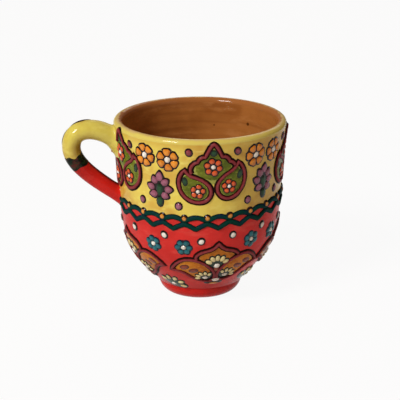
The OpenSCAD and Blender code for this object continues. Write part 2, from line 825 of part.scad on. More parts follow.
module boteh_florets() {
    color("#d8572b") studs(field_t) {
        at_turns(boteh_floret_turns, boteh_floret_h)
            round_petals(floret_count, floret_ring_share * floret_across,
                floret_petal_share * floret_across, field_t + petal_t);
        at_turns(boteh_turns, leaf_floret_h)
            round_petals(leaf_floret_count, floret_ring_share * leaf_floret_d,
                floret_petal_share * leaf_floret_d, field_t + petal_t);
    }
}

module boteh_seeds() {
    color("#17402a") studs(field_t) {
        at_turns(boteh_seed_turns, boteh_seed_h)
            round_stud(seed_d, petal_t);
        at_turns(boteh_turns, leaf_seed_h) round_stud(seed_d, petal_t);
    }
}

module rosette_petals() {
    outline = petal(rosette_petal_shares[0] * rosette_across, rosette_petal_shares[1] * rosette_across);
    color("#d98a22") studs(0) at_turns(rosette_turns, rosette_h)
        for (k = [0:rosette_count - 1])
            rotate([0, 0, 360 * k / rosette_count]) translate([0, rosette_ring_share * rosette_across, 0])
                stud(outline, petal_t);
}

module flower_centres() {
    color("#efece2") {
        studs(0) {
            at_turns(rosette_turns, rosette_h)
                round_stud(rosette_heart_share * rosette_across, petal_t);
            at_turns(teal_turns, teal_h) round_stud(teal_heart_share * teal_across, petal_t);
        }
        studs(field_t) {
            at_turns(boteh_floret_turns, boteh_floret_h)
                round_stud(floret_heart_share * floret_across, field_t + petal_t);
            at_turns(boteh_turns, leaf_floret_h)
                round_stud(floret_heart_share * leaf_floret_d, field_t + petal_t);
        }
    }
}

module sprig_petals() {
    outline = petal(sprig_petal_shares[0] * sprig_tall, sprig_petal_shares[1] * sprig_across);
    color("#9c5a70") studs(0) at_turns(sprig_turns, sprig_row_h)
        for (k = [0:len(sprig_petal_angles) - 1])
            rotate([0, 0, sprig_petal_angles[k]]) translate([0, sprig_out_shares[k] * sprig_tall, 0])
                stud(outline, petal_t);
}

module sprig_stems() {
    color("#1c3a22") studs(0) at_turns(sprig_turns, sprig_row_h) {
        stud(petal(sprig_heart_shares[1] * sprig_tall, sprig_heart_shares[0] * sprig_across), petal_t);
        translate([0, -sprig_stem_drop_share * sprig_tall, 0])
            stud(petal(sprig_stem_shares[1] * sprig_tall, sprig_stem_shares[0] * sprig_across), petal_t);
    }
}

module maroon_dots() {
    color("#7d2f35") studs(0) at_turns(maroon_turns, maroon_h) round_stud(upper_dot_d, petal_t);
}

module pink_dots() {
    color("#9c5a70") studs(0) at_turns(pink_turns, pink_h) round_stud(upper_dot_d, petal_t);
}

// Red band
module teal_petals() {
    color("#1f7480") studs(0) at_turns(teal_turns, teal_h)
        round_petals(teal_count, teal_ring_share * teal_across, teal_petal_share * teal_across, petal_t);
}

module white_dots() {
    color("#efece2") studs(0) at_turns(white_turns, white_h) round_stud(lower_dot_d, petal_t);
}

module palmette_outlines() {
    color("#7d2f35") relief(0, rope_t) {
        at_pods() difference() {
            cutter(pod_outline);
            cutter(pod_grown(-rope_w));
        }
        difference() {
            at_crowns() difference() {
                cutter(crown_outline);
                cutter(crown_grown(-rope_w));
            }
            at_pods() cutter(pod_grown(stroke_gap));
        }
    }
}

module palmette_fields() {
    color("#c9801f") relief(0, field_t) {
        at_pods() cutter(pod_grown(-rope_w));
        difference() {
            at_crowns() cutter(crown_grown(-rope_w));
            at_pods() cutter(pod_grown(stroke_gap));
        }
    }
}

module palmette_seeds() {
    color("#7a3322") relief(field_t, petal_t) at_pods()
        for (s = pod_seed_shares)
            translate([s.x * pod_across, s.y * pod_tall, 0]) rotate([0, 0, 90])
                cutter(petal(pod_seed_size_shares[1] * pod_across, pod_seed_size_shares[0] * pod_across));
}

module fan_petals() {
    color("#ded493") {
        relief(field_t, field_t + petal_t) {
            at_crown_hearts() fan_of_petals(crown_fan_angles, crown_fan_shares[0] * crown_tall,
                crown_fan_shares[1] * crown_tall, crown_fan_shares[2] * crown_tall);
            at_pod_hearts() fan_of_petals(pod_fan_angles, pod_fan_shares[0] * pod_across,
                pod_fan_shares[1] * pod_across, pod_fan_shares[2] * pod_across);
        }
        relief(0, petal_t) at_foot_fans() fan_of_petals(foot_fan_angles, foot_fan_shares[0] * foot_fan_reach,
            foot_fan_shares[1] * foot_fan_reach, foot_fan_shares[2] * foot_fan_reach);
    }
}

module fan_hearts() {
    color("#efece2") {
        relief(field_t, field_t + petal_t) {
            at_crown_hearts() round_cutter(crown_heart_shares[1] * crown_tall);
            at_pod_hearts() round_cutter(pod_heart_share * pod_across);
        }
        relief(0, petal_t) at_foot_fans() round_cutter(foot_heart_share * foot_fan_reach);
    }
}

body();
foot_ring();
handle();
upper_luting();
lower_luting();
lining_glaze();
yellow_slip();
red_slip();
foot_slip();
handle_yellow_slip();
handle_dark_band();
handle_red_slip();
handle_leaves();
chain_upper_line();
chain_lower_line();
chain_beads();
boteh_outlines();
boteh_fields();
boteh_florets();
boteh_seeds();
rosette_petals();
flower_centres();
sprig_petals();
sprig_stems();
maroon_dots();
pink_dots();
teal_petals();
white_dots();
palmette_outlines();
palmette_fields();
palmette_seeds();
fan_petals();
fan_hearts();
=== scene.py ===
import math
import random

import bmesh
import bpy
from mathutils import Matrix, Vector


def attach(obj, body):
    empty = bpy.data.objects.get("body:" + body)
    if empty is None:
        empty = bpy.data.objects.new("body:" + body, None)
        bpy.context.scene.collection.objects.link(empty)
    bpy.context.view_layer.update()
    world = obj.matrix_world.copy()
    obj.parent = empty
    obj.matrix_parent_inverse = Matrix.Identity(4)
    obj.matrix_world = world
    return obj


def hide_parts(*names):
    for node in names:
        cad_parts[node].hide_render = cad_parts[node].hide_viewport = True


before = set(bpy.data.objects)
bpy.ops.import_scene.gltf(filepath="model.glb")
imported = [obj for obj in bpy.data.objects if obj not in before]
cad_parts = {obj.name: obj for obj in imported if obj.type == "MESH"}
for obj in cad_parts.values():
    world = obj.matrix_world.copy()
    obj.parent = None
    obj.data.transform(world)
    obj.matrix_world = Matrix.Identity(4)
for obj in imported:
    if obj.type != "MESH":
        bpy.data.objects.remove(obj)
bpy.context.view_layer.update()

scene = bpy.context.scene
collection = scene.collection

# Sizes of the mug in millimetres, as in the part's source
MM = 0.001
MUG_H = 90.0
RIM_R = 43.0
LIP_T = 4.6
BELLY_R = 40.8
BELLY_H = 62.5
BASE_R = 21.6
WALL_T = 4.6
FLOOR_T = 5.0
SLIP_T = 0.4
LINING_T = 0.3
FOOT_H = 7.2
FOOT_R = 21.0
REST_R = 14.0
RECESS_R = 11.0
CHAIN_H = 50.0
CHAIN_LINKS = 23
CHAIN_W = 2.0
CHAIN_START = -92.5
BEAD_D = 3.0
ROPE_W = 1.7
ROPE_T = 0.9
FIELD_T = 0.4
PETAL_T = 0.8
LINE_W = 0.6
SUNK = 0.2
WALL_TOP = MUG_H - LIP_T / 2
HANDLE_TURN = 180.0
FRONT_TURN = -97.5
ROW_SAG = 1.2
ROW_LEAN = 1.2
ROPE_GIRTH = 1.18
CHAIN_GIRTH = 1.2

dice = random.Random(21)


def jitter(amount):
    return dice.uniform(-amount, amount)


# Plain curves
def bezier(points, t):
    u = 1.0 - t
    weights = (u ** 3, 3 * u * u * t, 3 * u * t * t, t ** 3)
    return tuple(sum(w * p[k] for w, p in zip(weights, points)) for k in range(len(points[0])))


def bezier_chain(points, steps):
    line = []
    for first in range(0, len(points) - 3, 3):
        line += [bezier(points[first:first + 4], i / steps) for i in range(steps)]
    return line


def ease(low, high, value):
    t = min(1.0, max(0.0, (value - low) / (high - low)))
    return t * t * (3 - 2 * t)


# Wall profile as (radius, height), from the foot to the lip
BOWL_STEPS = 44
RIM_STEPS = 22
bowl_rise = BELLY_H - FOOT_H
rim_rise = WALL_TOP - BELLY_H
bowl_curve = [
    (BASE_R, FOOT_H),
    (BASE_R + 0.647 * (BELLY_R - BASE_R), FOOT_H + 0.272 * bowl_rise),
    (BELLY_R, FOOT_H + 0.33 * bowl_rise),
    (BELLY_R, BELLY_H)]
rim_curve = [
    (BELLY_R, BELLY_H),
    (BELLY_R, BELLY_H + 0.107 * rim_rise),
    (RIM_R - 0.37 * (RIM_R - BELLY_R), BELLY_H + 0.772 * rim_rise),
    (RIM_R, WALL_TOP)]
wall_line = [bezier(bowl_curve, i / BOWL_STEPS) for i in range(BOWL_STEPS)]
wall_line += [bezier(rim_curve, i / RIM_STEPS) for i in range(RIM_STEPS + 1)]
wall_runs = [0.0]
for low, high in zip(wall_line, wall_line[1:]):
    wall_runs.append(wall_runs[-1] + math.dist(low, high))
wall_radii, wall_heights = zip(*wall_line)


def between(keys, values, key):
    """The value at a key, on a straight line between its neighbours."""
    last = len(keys) - 2
    i = next((i for i in range(last) if key <= keys[i + 1]), last)
    share = (key - keys[i]) / (keys[i + 1] - keys[i])
    return values[i] + share * (values[i + 1] - values[i])


def run_at(height):
    """Distance up the wall from the foot to a height."""
    return between(wall_heights, wall_runs, height)


def wall_r(height):
    return between(wall_heights, wall_radii, height)


def r_at_run(run):
    """Radius of the wall at a distance up it from the foot."""
    return between(wall_runs, wall_radii, run)


def wall_normals():
    normals = []
    last = len(wall_line) - 1
    for i in range(last + 1):
        (r0, z0), (r1, z1) = wall_line[max(0, i - 1)], wall_line[min(last, i + 1)]
        length = math.dist((r0, z0), (r1, z1))
        normals.append(((z1 - z0) / length, (r0 - r1) / length))
    return normals


normals = wall_normals()


def skin(depth):
    return [(r + depth * n[0], z + depth * n[1]) for (r, z), n in zip(wall_line, normals)]


FLOOR_ROUND = 0.42 * FLOOR_T


def settled(height, low):
    return low + FLOOR_ROUND * math.log(1 + math.exp((height - low) / FLOOR_ROUND))


def inside(depth):
    """Inside of the wall, run out softly over the floor."""
    low = FOOT_H + FLOOR_T + depth
    return [(r, settled(z, low)) for r, z in skin(-WALL_T - depth)[:-1]]


# Node helpers
def add(tree, kind, **settings):
    node = tree.nodes.new(kind)
    for key, value in settings.items():
        setattr(node, key, value)
    return node


def feed(tree, target, value):
    """Links an output to a socket, or sets the socket to a plain value."""
    if isinstance(value, bpy.types.NodeSocket):
        tree.links.new(value, target)
    else:
        target.default_value = value


def wire(tree, *pairs):
    for output, target in pairs:
        tree.links.new(output, target)


def socket(tree, name, kind, way="INPUT", value=None):
    made = tree.interface.new_socket(name=name, in_out=way, socket_type="NodeSocket" + kind)
    if value is not None:
        made.default_value = value


def new_geometry_tree(name):
    tree = bpy.data.node_groups.new(name, "GeometryNodeTree")
    socket(tree, "Geometry", "Geometry")
    socket(tree, "Geometry", "Geometry", "OUTPUT")
    return tree


def math_node(tree, operation, *values):
    node = add(tree, "ShaderNodeMath", operation=operation)
    for target, value in zip(node.inputs, values):
        feed(tree, target, value)
    return node.outputs[0]


def close_tree(tree, geometry, material):
    """Ends a tree in Realize Instances and Set Material."""
    ends = add(tree, "NodeGroupOutput")
    real = add(tree, "GeometryNodeRealizeInstances")
    smooth = add(tree, "GeometryNodeSetShadeSmooth")
    cover = add(tree, "GeometryNodeSetMaterial")
    wire(tree,
         (geometry, real.inputs[0]),
         (real.outputs[0], smooth.inputs[0]),
         (smooth.outputs[0], cover.inputs["Geometry"]),
         (material, cover.inputs["Material"]),
         (cover.outputs[0], ends.inputs[0]))


def named_value(tree, name):
    node = add(tree, "GeometryNodeInputNamedAttribute", data_type="FLOAT")
    node.inputs["Name"].default_value = name
    return node.outputs[0]


# Geometry node trees
SEAM_GAP = 1e-6


def wheel_tree():
    """A profile turned round the axis of the mug."""
    tree = new_geometry_tree("turned on the wheel")
    socket(tree, "Profile", "Object")
    socket(tree, "Turning Radius", "Float", value=0.05)
    socket(tree, "Turning Steps", "Int", value=160)
    socket(tree, "Material", "Material")
    given = add(tree, "NodeGroupInput").outputs
    circle = add(tree, "GeometryNodeCurvePrimitiveCircle")
    upright = add(tree, "GeometryNodeSetCurveNormal", mode="Z_UP")
    profile = add(tree, "GeometryNodeObjectInfo")
    sweep = add(tree, "GeometryNodeCurveToMesh")
    merge = add(tree, "GeometryNodeMergeByDistance")
    merge.inputs["Distance"].default_value = SEAM_GAP
    wire(tree,
         (given["Turning Steps"], circle.inputs["Resolution"]),
         (given["Turning Radius"], circle.inputs["Radius"]),
         (circle.outputs["Curve"], upright.inputs["Curve"]),
         (given["Profile"], profile.inputs["Object"]),
         (upright.outputs["Curve"], sweep.inputs["Curve"]),
         (profile.outputs["Geometry"], sweep.inputs["Profile Curve"]),
         (sweep.outputs["Mesh"], merge.inputs["Geometry"]))
    close_tree(tree, merge.outputs["Geometry"], given["Material"])
    return tree


def wrap_tree():
    """Lays flat work on the wall: x runs round it from the turn, y up it and z away from it."""
    tree = new_geometry_tree("wrap on wall")
    socket(tree, "Wall Line", "Object")
    given = add(tree, "NodeGroupInput").outputs
    ends = add(tree, "NodeGroupOutput")
    line = add(tree, "GeometryNodeObjectInfo")
    place = add(tree, "GeometryNodeInputPosition")
    flat = add(tree, "ShaderNodeSeparateXYZ")
    sample = add(tree, "GeometryNodeSampleCurve", mode="LENGTH", data_type="FLOAT")
    foot = add(tree, "ShaderNodeSeparateXYZ")
    slope = add(tree, "ShaderNodeSeparateXYZ")
    spot = add(tree, "ShaderNodeCombineXYZ")
    put = add(tree, "GeometryNodeSetPosition")
    out = math_node(tree, "MULTIPLY", flat.outputs["Z"], slope.outputs["Z"])
    fall = math_node(tree, "MULTIPLY", flat.outputs["Z"], slope.outputs["X"])
    radius = math_node(tree, "ADD", foot.outputs["X"], out)
    height = math_node(tree, "SUBTRACT", foot.outputs["Z"], fall)
    round_wall = math_node(tree, "DIVIDE", flat.outputs["X"], foot.outputs["X"])
    angle = math_node(tree, "ADD", named_value(tree, "turn"), round_wall)
    across = math_node(tree, "MULTIPLY", radius, math_node(tree, "COSINE", angle))
    deep = math_node(tree, "MULTIPLY", radius, math_node(tree, "SINE", angle))
    wire(tree,
         (given["Wall Line"], line.inputs["Object"]),
         (place.outputs[0], flat.inputs[0]),
         (line.outputs["Geometry"], sample.inputs["Curves"]),
         (flat.outputs["Y"], sample.inputs["Length"]),
         (sample.outputs["Position"], foot.inputs[0]),
         (sample.outputs["Tangent"], slope.inputs[0]),
         (across, spot.inputs["X"]),
         (deep, spot.inputs["Y"]),
         (height, spot.inputs["Z"]),
         (given["Geometry"], put.inputs["Geometry"]),
         (spot.outputs[0], put.inputs["Position"]),
         (put.outputs["Geometry"], ends.inputs[0]))
    return tree


def wrapped(tree, given, geometry):
    group = add(tree, "GeometryNodeGroup", node_tree=wrap_on_wall)
    wire(tree, (geometry, group.inputs["Geometry"]), (given["Wall Line"], group.inputs["Wall Line"]))
    return group.outputs[0]


def ornament_tree(name):
    tree = new_geometry_tree(name)
    socket(tree, "Wall Line", "Object")
    socket(tree, "Material", "Material")
    return tree


def petal_tree():
    """Copies of one petal form at flat places, laid on the wall."""
    tree = ornament_tree("petals on wall")
    socket(tree, "Petal Form", "Object")
    given = add(tree, "NodeGroupInput").outputs
    form = add(tree, "GeometryNodeObjectInfo")
    turn = add(tree, "ShaderNodeCombineXYZ")
    size = add(tree, "ShaderNodeCombineXYZ")
    copies = add(tree, "GeometryNodeInstanceOnPoints")
    real = add(tree, "GeometryNodeRealizeInstances")
    wire(tree,
         (given["Petal Form"], form.inputs["Object"]),
         (named_value(tree, "spin"), turn.inputs["Z"]),
         (named_value(tree, "wide"), size.inputs["X"]),
         (named_value(tree, "long"), size.inputs["Y"]),
         (named_value(tree, "tall"), size.inputs["Z"]),
         (given["Geometry"], copies.inputs["Points"]),
         (form.outputs["Geometry"], copies.inputs["Instance"]),
         (turn.outputs[0], copies.inputs["Rotation"]),
         (size.outputs[0], copies.inputs["Scale"]),
         (copies.outputs[0], real.inputs[0]))
    close_tree(tree, wrapped(tree, given, real.outputs[0]), given["Material"])
    return tree


def rope_tree():
    """A raised stroke along flat lines, laid on the wall."""
    tree = ornament_tree("ropes on wall")
    socket(tree, "Rope Section", "Object")
    socket(tree, "Rope Height", "Float", value=0.001)
    given = add(tree, "NodeGroupInput").outputs
    section = add(tree, "GeometryNodeObjectInfo")
    line = add(tree, "GeometryNodeMeshToCurve")
    upright = add(tree, "GeometryNodeSetCurveNormal", mode="Z_UP")
    sweep = add(tree, "GeometryNodeCurveToMesh")
    sweep.inputs["Fill Caps"].default_value = True
    place = add(tree, "GeometryNodeInputPosition")
    flat = add(tree, "ShaderNodeSeparateXYZ")
    store = add(tree, "GeometryNodeStoreNamedAttribute", data_type="FLOAT", domain="POINT")
    store.inputs["Name"].default_value = "lift"
    wire(tree,
         (given["Rope Section"], section.inputs["Object"]),
         (given["Geometry"], line.inputs["Mesh"]),
         (line.outputs["Curve"], upright.inputs["Curve"]),
         (upright.outputs["Curve"], sweep.inputs["Curve"]),
         (section.outputs["Geometry"], sweep.inputs["Profile Curve"]),
         (named_value(tree, "girth"), sweep.inputs["Scale"]),
         (place.outputs[0], flat.inputs[0]),
         (sweep.outputs["Mesh"], store.inputs["Geometry"]),
         (math_node(tree, "DIVIDE", flat.outputs["Z"], given["Rope Height"]), store.inputs["Value"]))
    close_tree(tree, wrapped(tree, given, store.outputs[0]), given["Material"])
    return tree


def field_tree():
    """Flat fields laid on the wall."""
    tree = ornament_tree("fields on wall")
    given = add(tree, "NodeGroupInput").outputs
    close_tree(tree, wrapped(tree, given, given["Geometry"]), given["Material"])
    return tree


wrap_on_wall = wrap_tree()
turned_on_wheel = wheel_tree()
petals_on_wall = petal_tree()
ropes_on_wall = rope_tree()
fields_on_wall = field_tree()


# Pieces
helpers = []


def linked(name, data):
    made = bpy.data.objects.new(name, data)
    collection.objects.link(made)
    return made


def guide_curve(name, points, closed):
    """A poly line that a tree reads, removed once the pieces are made."""
    data = bpy.data.curves.new(name, "CURVE")
    data.dimensions = "3D"
    spline = data.splines.new("POLY")
    spline.points.add(len(points) - 1)
    for point, place in zip(spline.points, points):
        point.co = (*(c * MM for c in place), 1.0)
    spline.use_cyclic_u = closed
    made = linked(name, data)
    helpers.append(made)
    return made


def plain_mesh(name, points, faces, edges=(), **values):
    """A mesh from millimetres, with point attributes by name."""
    mesh = bpy.data.meshes.new(name)
    mesh.from_pydata([tuple(c * MM for c in p) for p in points], edges, faces)
    for key, numbers in values.items():
        layer = mesh.attributes.new(key, "FLOAT", "POINT")
        layer.data.foreach_set("value", numbers)
    mesh.update()
    return mesh


def grown_by(tree, piece, **inputs):
    """Runs a tree on a piece and keeps the result as its plain mesh."""
    modifier = piece.modifiers.new("made", "NODES")
    modifier.node_group = tree
    for item in tree.interface.items_tree:
        key = item.name.lower().replace(" ", "_")
        if item.item_type == "SOCKET" and item.in_out == "INPUT" and key in inputs:
            modifier[item.identifier] = inputs[key]
    graph = bpy.context.evaluated_depsgraph_get()
    mesh = bpy.data.meshes.new_from_object(
        piece.evaluated_get(graph), preserve_all_data_layers=True, depsgraph=graph)
    piece.modifiers.clear()
    piece.data = mesh
    mesh.name = piece.name


def outward_faces(mesh):
    work = bmesh.new()
    work.from_mesh(mesh)
    bmesh.ops.recalc_face_normals(work, faces=work.faces)
    work.to_mesh(mesh)
    work.free()


def settle(piece, slot, *nodes, crease=50.0):
    """The piece rides on the mug and stands for its nodes. The slot argument is not used."""
    outward_faces(piece.data)
    piece.data.shade_smooth()
    piece.data.set_sharp_from_angle(angle=math.radians(crease))
    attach(piece, "root")
    if nodes:
        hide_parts(*nodes)


# Colours and finishes
def paint(code):
    """A colour from its hex code, as linear light."""
    parts = [int(code[i:i + 2], 16) / 255 for i in (1, 3, 5)]
    return (*(c / 12.92 if c < 0.0405 else ((c + 0.055) / 1.055) ** 2.4 for c in parts), 1.0)


def mixed(tree, factor, first, second, blend="MIX"):
    node = add(tree, "ShaderNodeMix", data_type="RGBA", blend_type=blend)
    for place, value in ((0, factor), (6, first), (7, second)):
        feed(tree, node.inputs[place], value)
    return node.outputs[2]


def spread(tree, value, low, high, to_low=0.0, to_high=1.0):
    node = add(tree, "ShaderNodeMapRange", interpolation_type="SMOOTHSTEP")
    for target, number in zip(node.inputs, (value, low, high, to_low, to_high)):
        feed(tree, target, number)
    return node.outputs[0]


NOISE_ROUGHNESS = 0.55


def noise(tree, place, scale, detail=3.0):
    node = add(tree, "ShaderNodeTexNoise")
    values = {"Vector": place, "Scale": scale, "Detail": detail, "Roughness": NOISE_ROUGHNESS}
    for name, value in values.items():
        feed(tree, node.inputs[name], value)
    return node.outputs[0]


def object_place(tree):
    return add(tree, "ShaderNodeTexCoord").outputs["Object"]


def painted_mask(tree, name):
    return add(tree, "ShaderNodeAttribute", attribute_name=name).outputs["Fac"]


BRUSH_SHIFT = (0.31, 0.17, 0.07)
BRUSH_STRETCH = (1.0, 1.0, 2.6)
STROKE_FINENESS = 2.1
GRAIN_SCALE = 1500.0
GRAIN_ROUGHNESS = 0.06
PIT_SCALE = 620.0
PIT_SINK = -0.5


def mottle_group():
    """Brushed glaze: pale and deep patches, fine pits, and the roughness and relief that go with them."""
    tree = bpy.data.node_groups.new("glaze mottle", "ShaderNodeTree")
    for name in ("Colour", "Deep", "Pale"):
        socket(tree, name, "Color")
    for name in ("Patch Scale", "Patch Strength", "Pit Strength", "Dullness"):
        socket(tree, name, "Float")
    socket(tree, "Colour", "Color", "OUTPUT")
    socket(tree, "Roughness", "Float", "OUTPUT")
    socket(tree, "Height", "Float", "OUTPUT")
    given = add(tree, "NodeGroupInput").outputs
    ends = add(tree, "NodeGroupOutput").inputs
    place = object_place(tree)
    brush = add(tree, "ShaderNodeMapping")
    brush.inputs["Location"].default_value = BRUSH_SHIFT
    brush.inputs["Scale"].default_value = BRUSH_STRETCH
    patches = noise(tree, place, given["Patch Scale"])
    fine = math_node(tree, "MULTIPLY", given["Patch Scale"], STROKE_FINENESS)
    strokes = noise(tree, brush.outputs[0], fine)
    grain = math_node(tree, "MULTIPLY", noise(tree, place, GRAIN_SCALE, 2.0), GRAIN_ROUGHNESS)
    pit = spread(tree, noise(tree, brush.outputs[0], PIT_SCALE, 1.0), 0.7, 0.78)
    deep = math_node(tree, "MULTIPLY", spread(tree, patches, 0.43, 0.66), given["Patch Strength"])
    pale = math_node(tree, "MULTIPLY", spread(tree, strokes, 0.5, 0.74), given["Patch Strength"])
    pitted = math_node(tree, "MULTIPLY", pit, given["Pit Strength"])
    colour = mixed(tree, deep, given["Colour"], given["Deep"])
    colour = mixed(tree, pale, colour, given["Pale"])
    colour = mixed(tree, pitted, colour, given["Deep"])
    rough = math_node(tree, "ADD", spread(tree, strokes, 0.35, 0.7, 0.13, 0.24), grain)
    relief = math_node(tree, "ADD", strokes, math_node(tree, "MULTIPLY", pit, PIT_SINK))
    wire(tree,
         (place, brush.inputs[0]),
         (colour, ends["Colour"]),
         (math_node(tree, "ADD", rough, given["Dullness"]), ends["Roughness"]),
         (relief, ends["Height"]))
    return tree


WANDER_SCALE = 900.0
DULL_TONE = (0.78, 0.74, 0.72, 1.0)
FULL_TONE = (1.0, 1.0, 1.0, 1.0)


def enamel_group():
    """Raised enamel: a dark line round its foot, its own tone, and a painted highlight along its top."""
    tree = bpy.data.node_groups.new("raised enamel", "ShaderNodeTree")
    for name in ("Colour", "Line", "Crest"):
        socket(tree, name, "Color")
    socket(tree, "Line Top", "Float", value=0.3)
    socket(tree, "Crest Strength", "Float", value=0.4)
    socket(tree, "Colour", "Color", "OUTPUT")
    given = add(tree, "NodeGroupInput").outputs
    ends = add(tree, "NodeGroupOutput").inputs
    wander = spread(tree, noise(tree, object_place(tree), WANDER_SCALE), 0.3, 0.7, -0.08, 0.08)
    level = math_node(tree, "ADD", painted_mask(tree, "lift"), wander)
    body = spread(tree, math_node(tree, "SUBTRACT", level, given["Line Top"]), -0.06, 0.1)
    # Painted highlight: the top of each raised piece is mixed towards a paler colour
    crest = math_node(tree, "MULTIPLY", spread(tree, level, 0.82, 1.02), given["Crest Strength"])
    tone = mixed(tree, painted_mask(tree, "tone"), DULL_TONE, FULL_TONE)
    shaded = mixed(tree, 1.0, given["Colour"], tone, "MULTIPLY")
    colour = mixed(tree, crest, shaded, given["Crest"])
    tree.links.new(mixed(tree, body, given["Line"], colour), ends["Colour"])
    return tree


glaze_mottle = mottle_group()
raised_enamel = enamel_group()


def placed_group(tree, group, **values):
    node = add(tree, "ShaderNodeGroup", node_tree=group)
    for key, value in values.items():
        target = node.inputs[key.replace("_", " ").title()]
        feed(tree, target, paint(value) if isinstance(value, str) else value)
    return node.outputs


PIT_STRENGTH = 0.3
GLAZE_RELIEF = 0.12
RELIEF_DEPTH = 0.0006
COAT_ROUGHNESS = 0.08
GLAZE_SPECULAR = 0.02


def finish(name, colour, deep, pale, patch=320.0, strength=0.5, line=None, crest=None, line_top=0.45,
           crest_strength=0.4, coat=0.45, shade=None, dull=0.08):
    """A glossy glaze. A line colour makes it raised enamel with a painted highlight; a shade colour follows a
    mask of tint and painted shade.
    """
    material = bpy.data.materials.new(name)
    material.use_nodes = True
    tree = material.node_tree
    shader = tree.nodes["Principled BSDF"].inputs
    shader["Coat Weight"].default_value = coat
    shader["Coat Roughness"].default_value = COAT_ROUGHNESS
    shader["Specular IOR Level"].default_value = GLAZE_SPECULAR
    mottle = placed_group(tree, glaze_mottle, colour=colour, deep=deep, pale=pale, patch_scale=patch,
                          patch_strength=strength, pit_strength=PIT_STRENGTH, dullness=dull)
    tint = mottle["Colour"]
    if shade:
        tint = mixed(tree, painted_mask(tree, "shade"), tint, paint(shade))
    if line:
        tint = placed_group(tree, raised_enamel, colour=tint, line=line, crest=crest or pale,
                            line_top=line_top, crest_strength=crest_strength)["Colour"]
    relief = add(tree, "ShaderNodeBump")
    relief.inputs["Strength"].default_value = GLAZE_RELIEF
    relief.inputs["Distance"].default_value = RELIEF_DEPTH
    wire(tree,
         (mottle["Height"], relief.inputs["Height"]),
         (tint, shader["Base Color"]),
         (mottle["Roughness"], shader["Roughness"]),
         (relief.outputs[0], shader["Normal"]))
    return material


DARK_LINE = "#1c0c0a"
WHITE = ("#efece2", "#d5d0c2", "#fbf9f2")
SOFT_COAT = 0.18
# The yellow's shade colour is the ochre under the lip and the painted shade on the right side
yellow_glaze = finish("yellow_glaze", "#ddc956", "#c99c3c", "#e3d66c", 52.0, 0.8, shade="#b9781a", dull=0.12)
# The red's shade colour is the painted shadow just above the foot
red_glaze = finish("red_glaze", "#d22f2a", "#bd2520", "#da4b42", 52.0, 0.6, shade="#6d0f0d", coat=SOFT_COAT,
                   dull=0.1)
foot_red = finish("foot_red_glaze", "#c81d15", "#a4120c", "#d2331f", 60.0, coat=SOFT_COAT, dull=0.05)
band_glaze = finish("handle_band_glaze", "#0f120d", "#4d2019", "#123a1b", 300.0, 1.0, coat=SOFT_COAT)
# The handle's shade colour is the painted shade on the inner side of its bend
handle_yellow = finish("handle_yellow_glaze", "#d1c256", "#b9963c", "#dacd68", 60.0, 0.8, shade="#8a5c08",
                       dull=0.2)
# The shade colour of the handle's red is its darker inner side and the painted shade next to the band
handle_red = finish("handle_red_glaze", "#cb241c", "#ad1913", "#d53a2f", 70.0, shade="#3d0907",
                    coat=SOFT_COAT, dull=0.06)
leaf_brown = finish("handle_leaf_brown", "#3b2216", "#241208", "#57351f", 300.0, line="#1a0d08")
bare_clay = finish("bare_fired_clay", "#b5763f", "#8d5528", "#c98f58", 120.0, 0.6, coat=0.0)
maroon_rope = finish("maroon_rope", "#81292c", "#5f1b1f", "#984549", 300.0, line=DARK_LINE, line_top=0.52,
                     crest="#a05055", coat=0.03, dull=0.2)
olive_field = finish("olive_field", "#6f7a20", "#4b5a18", "#8d973a", 190.0, 0.8, line="#a0a24c",
                     line_top=0.12, crest_strength=0.0, coat=SOFT_COAT)
ochre_field = finish("ochre_field", "#cf7f1f", "#b05c12", "#dc9a3c", 190.0, 0.7, line="#d89a45",
                     line_top=0.1, crest_strength=0.0, coat=SOFT_COAT)
chain_line = finish("chain_green", "#08362d", "#131e42", "#0a463a", 230.0, 0.9, line="#051512", line_top=0.42,
                    crest="#0b4238", coat=0.0, dull=0.3)
orange_petal = finish("orange_petal", "#e08a22", "#cc6c14", "#eaa548", line=DARK_LINE)
floret_petal = finish("floret_petal", "#d8592a", "#bd4419", "#e4773f", line=DARK_LINE)
mauve_petal = finish("mauve_petal", "#97566c", "#7a4054", "#b07587", line=DARK_LINE, line_top=0.52)
maroon_dot = finish("maroon_dot", "#86323a", "#6a212a", "#a86168", line=DARK_LINE, line_top=0.56)
green_drop = finish("dark_green_drop", "#1d4023", "#0f2716", "#2d5a33", line="#16160f")
bead_glaze = finish("ochre_bead", "#cf8428", "#b5691a", "#dfa04c", line=DARK_LINE, line_top=0.74)
teal_petal = finish("teal_petal", "#1c6570", "#134a5a", "#317f86", line="#0b1526")
dark_ground = finish("dark_ground", "#1c0f0b", "#120906", "#2a1710")
white_glaze = finish("white_enamel", *WHITE, line="#2a1a18", line_top=0.3)
white_dot = finish("white_dot_enamel", *WHITE, line=DARK_LINE, line_top=0.68)
cream_petal = finish("cream_petal", "#e6d99a", "#cdbb6c", "#f1e8ba", line="#1c2212")
brown_seed = finish("brown_seed", "#8d3a1c", "#6c2812", "#a4552e", line="#5a2410")


def base_colour(material):
    """The socket of a finish that takes its colour, and the output that feeds it."""
    target = material.node_tree.nodes["Principled BSDF"].inputs["Base Color"]
    return target, target.links[0].from_socket


# Edges of the brown and the yellow on the lip, in shares of its thickness from the outside
BROWN_EDGE = (0.70, 0.47)
YELLOW_EDGE = (0.42, 0.08)
EDGE_SCALE = 240.0
EDGE_WANDER = 0.45


